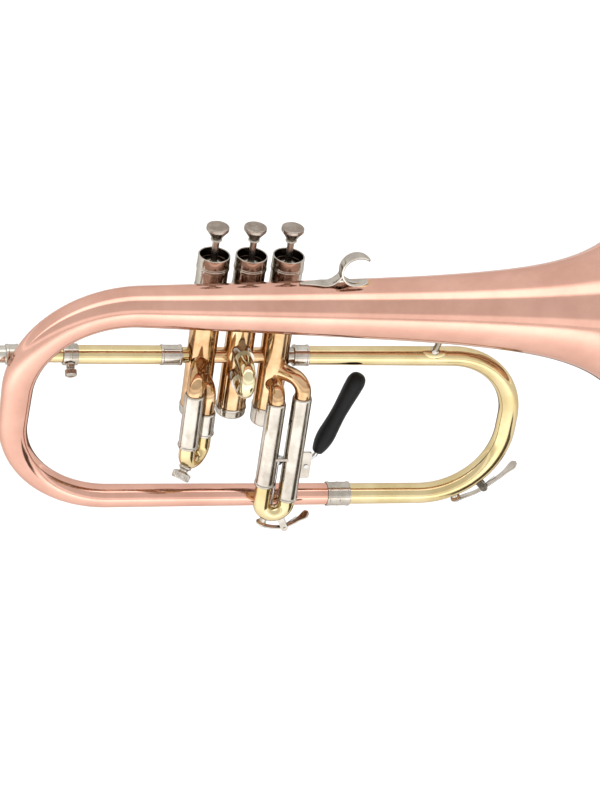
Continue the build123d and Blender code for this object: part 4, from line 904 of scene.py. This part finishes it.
def makeHook(values):
    y, z = bell["axis"]
    top = z + bellRadius(values["x"])
    centre = np.array([values["x"], y, top + values["rise"]])

    def onRing(degrees):
        turn = np.radians(degrees)
        return centre + values["ring"] * np.stack([np.cos(turn), np.zeros_like(turn), np.sin(turn)], -1)

    arc = onRing(np.linspace(values["tipAngle"], values["arcEnd"], 70))
    toeX = values["x"] + values["toeReach"]
    toe = splineLine([arc[-1], onRing(np.array(values["toeAngle"])) + [0.6, 0, 0.1],
                      [toeX, y, z + bellRadius(toeX) + 0.9]], 12)
    ring = np.concatenate([arc[:-1], toe])
    share = np.linspace(0, 1, len(ring))
    widths = values["halfWidth"] - 1.9 * np.clip(1 - share / 0.28, 0, 1) ** 1.5
    widths[:3] *= np.array([0.55, 0.8, 0.93])
    widths[-6:] *= np.linspace(0.97, 0.6, 6)
    thicks = np.full(len(ring), values["half"])
    thicks[:10] = np.linspace(0.65, values["half"], 10)
    loop = bentStrip(ring, (0, 1, 0), widths, thicks)
    footRow = np.array(values["footX"])
    low = np.stack([footRow, np.full(4, y), z + bellRadius(footRow) + values["footLift"]], -1)
    neck = [[x, y, top + height] for x, height in values["neckLine"]]
    foot = splineLine(np.concatenate([low, neck, [onRing(np.array(values["neckAngle"]))]]), 60)
    share = np.linspace(0, 1, 60)
    leaf = bentStrip(foot, (0, 1, 0), 1.0 + 3.4 * np.clip(share / 0.45, 0, 1) ** 1.2, np.full(60, 0.75))
    webRow = np.array(values["webX"])
    web = np.stack([webRow, np.full(6, y), z + bellRadius(webRow) + np.array(values["webLift"])], -1)
    web = splineLine(web, 40)
    deep = np.interp(np.linspace(0, 1, 40), [0, 0.25, 0.5, 0.75, 1], values["webDepth"])
    fill = bentStrip(web, (0, 1, 0), np.full(40, values["webHalf"]), deep)
    makePiece("finger_hook_strip", [loop, leaf, fill], "buffedNickelSilver", "frame", ["finger_hook"],
              50.0)


makeHook(hook)
print("finger hook made")


# brace between the bell and the front bow
brace = {"x": 334.0, "strut": 2.2, "halfLong": 10.0, "halfWide": 6.2, "height": 1.0, "sunk": 0.45,
         "taperLength": 310.0}


# Leaf-shaped flange wrapped on a tube: long and wide shrink to points with |sin q|^1.6, and its
# thickness is h (1 - p^4) above the tube and 0.45 below it.
def leafFoot(x, centre, angle, radius, values):
    step = np.linspace(0, 1, 9)
    p = np.concatenate([step, step[::-1]])
    rise = np.concatenate([values["height"] * (1 - step ** 4) - 0.25 * step ** 4,
                           np.full(9, -values["sunk"])])
    q = np.linspace(0, 2 * math.pi, 48, endpoint=False)
    along = values["halfLong"] * p[:, None] * np.cos(q)
    wide = values["halfWide"] * p[:, None] * np.sign(np.sin(q)) * np.abs(np.sin(q)) ** 1.6
    size = radius(x + along) + rise[:, None]
    turn = angle + wide / size
    grid = np.stack([x + along, centre[0] + size * np.cos(turn), centre[1] + size * np.sin(turn)], -1)
    return grid, False


def makeBrace(values):
    x, (y, z) = values["x"], bell["axis"]
    angle = math.atan2(z, y)
    share = (x - frontBow["start"]) / values["taperLength"]
    tube = frontBow["radii"][0] + 2 * share * (frontBow["radii"][1] - frontBow["radii"][0])
    span = math.hypot(y, z)
    out = np.array([0, y, z]) / span
    reach = span - bellRadius(x)
    thin = values["strut"]
    line = [(tube - 0.4, 0.0, 0), (tube - 0.4, 3.6, 0.2), (tube + 1.2, 3.4, 0.5), (tube + 3.0, thin, 1.0),
            (reach - 3.0, thin, 1.0), (reach - 1.2, 3.4, 0.5), (reach + 0.4, 3.6, 0.2),
            (reach + 0.4, 0.0, 0)]
    strut = (spun(roundCorners(line, False), (x, 0, 0), out, 40), False)
    onBow = leafFoot(x, (0, 0), angle, lambda at: np.full_like(at, tube), values)
    onBell = leafFoot(x, (y, z), angle + math.pi, bellRadius, values)
    makePiece("brace_foot_leaf", [onBow], "lacqueredYellowBrass", "frame", (), 50.0)
    makePiece("bell_brace", [strut, onBell], "buffedNickelSilver", "frame", ["front_brace"],
              50.0)


# oval plate soldered to the bell under the hook's ring
hookBase = {"x": 261.5, "halfLong": 9.5, "halfWide": 5.4, "height": 0.7, "sunk": 0.45}


def makeHookBase(values):
    plate = leafFoot(values["x"], bell["axis"], math.pi / 2, bellRadius, values)
    makePiece("hook_base_leaf", [plate], "lacqueredGoldBrass", "frame", (), 50.0)


makeBrace(brace)
makeHookBase(hookBase)
print("brace and hook base made")

# floor and lights
studio = {"floorDepth": 420.0, "floorSize": 16.0, "skyStrength": 2.6}


def makeStudio(values):
    low = cadLow[2] - values["floorDepth"] * mm
    half = values["floorSize"] / 2
    mesh = bpy.data.meshes.new("floor")
    mesh.from_pydata([(-half, -half, low), (half, -half, low), (half, half, low), (-half, half, low)], [],
                     [(0, 1, 2, 3)])
    floor = bpy.data.objects.new("floor", mesh)
    bpy.context.scene.collection.objects.link(floor)
    made, tree = newMaterial("paleFloor")
    place = addNode(tree, "ShaderNodeTexCoord")
    grain = addNode(tree, "ShaderNodeTexNoise", inputs={"Scale": 3.0},
                    links={"Vector": place.outputs["Object"]})
    tone = addNode(tree, "ShaderNodeValToRGB", links={"Fac": grain.outputs["Fac"]})
    rampStops(tone.color_ramp, [(0.0, linear("eaeaea")), (1.0, linear("eeeeee"))])
    shader = addNode(tree, "ShaderNodeBsdfDiffuse", links={"Color": tone.outputs["Color"]})
    finishMaterial(tree, shader)
    mesh.materials.append(made)

    world = bpy.data.worlds.new("room")
    bpy.context.scene.world = world
    world.use_nodes = True
    tree = world.node_tree
    tree.nodes.clear()
    way = addNode(tree, "ShaderNodeTexCoord")
    split = addNode(tree, "ShaderNodeSeparateXYZ", links={"Vector": way.outputs["Generated"]})
    front = addNode(tree, "ShaderNodeMath", {"operation": "MULTIPLY"}, {1: -1.0}, {0: split.outputs["Y"]})
    angle = addNode(tree, "ShaderNodeMath", {"operation": "ARCTAN2"}, links={0: split.outputs["Z"],
                    1: front.outputs[0]})
    share = addNode(tree, "ShaderNodeMapRange", inputs={"From Min": 0.0, "From Max": math.pi},
                    links={"Value": angle.outputs[0]})
    ramp = addNode(tree, "ShaderNodeValToRGB", links={"Fac": share.outputs["Result"]})
    # from the front horizon over the top to the back horizon
    rampStops(ramp.color_ramp, [(degrees / 180, (level, level, level, 1.0)) for degrees, level in
                                [(0, 0.62), (9, 0.60), (14, 0.40), (62, 0.38), (68, 1.0), (83, 1.0),
                                 (93, 0.46), (180, 0.44)]])
    light = addNode(tree, "ShaderNodeBackground", inputs={"Strength": values["skyStrength"]},
                    links={"Color": ramp.outputs["Color"]})
    addNode(tree, "ShaderNodeOutputWorld", links={"Surface": light.outputs[0]})


lamps = {
    "frontFloor": {"at": (0.75, -1.75, 0.0), "size": (2.2, 1.9), "power": 30.0, "aim": (0.75, -1.75, -1.0)},
    "leftFloor": {"at": (-0.78, -0.45, 0.0), "size": (0.6, 1.0), "power": 8.0, "aim": (-0.78, -0.45, -1.0)},
    "fill": {"at": (1.6, -0.6, 1.7), "size": (1.4, 1.4), "power": 3.0, "aim": (0.23, 0.0, -0.3)},
}


# dark cards lying near the floor, only seen in the metal's reflections
flags = {
    "rightFlag": {"low": (0.58, -0.66), "high": (1.10, -0.14), "tone": "4d463f"},
    "backFlag": {"low": (0.05, 0.45), "high": (1.00, 1.30), "tone": "6a625a"},
}


def makeFlags(flagRows):
    level = cadLow[2] - studio["floorDepth"] * mm + 0.01
    for name, row in flagRows.items():
        (x0, y0), (x1, y1) = row["low"], row["high"]
        mesh = bpy.data.meshes.new(name)
        mesh.from_pydata([(x0, y0, level), (x1, y0, level), (x1, y1, level), (x0, y1, level)], [],
                         [(0, 1, 2, 3)])
        card = bpy.data.objects.new(name, mesh)
        bpy.context.scene.collection.objects.link(card)
        card.visible_camera = False
        card.visible_diffuse = False
        card.visible_shadow = False
        made, tree = newMaterial(name)
        shader = addNode(tree, "ShaderNodeBsdfDiffuse", inputs={"Color": linear(row["tone"])})
        finishMaterial(tree, shader)
        mesh.materials.append(made)


def makeLamps(lampRows):
    for name, row in lampRows.items():
        data = bpy.data.lights.new(name, "AREA")
        data.shape = "RECTANGLE"
        data.size, data.size_y = row["size"]
        data.energy = row["power"]
        lamp = bpy.data.objects.new(name, data)
        bpy.context.scene.collection.objects.link(lamp)
        lamp.visible_glossy = False
        lamp.visible_camera = False
        way = np.array(row["at"]) - np.array(row["aim"])
        along, first, second = crossAxes(way)
        placed = np.eye(4)
        placed[:3, 0], placed[:3, 1], placed[:3, 2], placed[:3, 3] = first, second, along, row["at"]
        lamp.matrix_world = Matrix(placed.tolist())


makeStudio(studio)
makeFlags(flags)
makeLamps(lamps)
print("studio made")
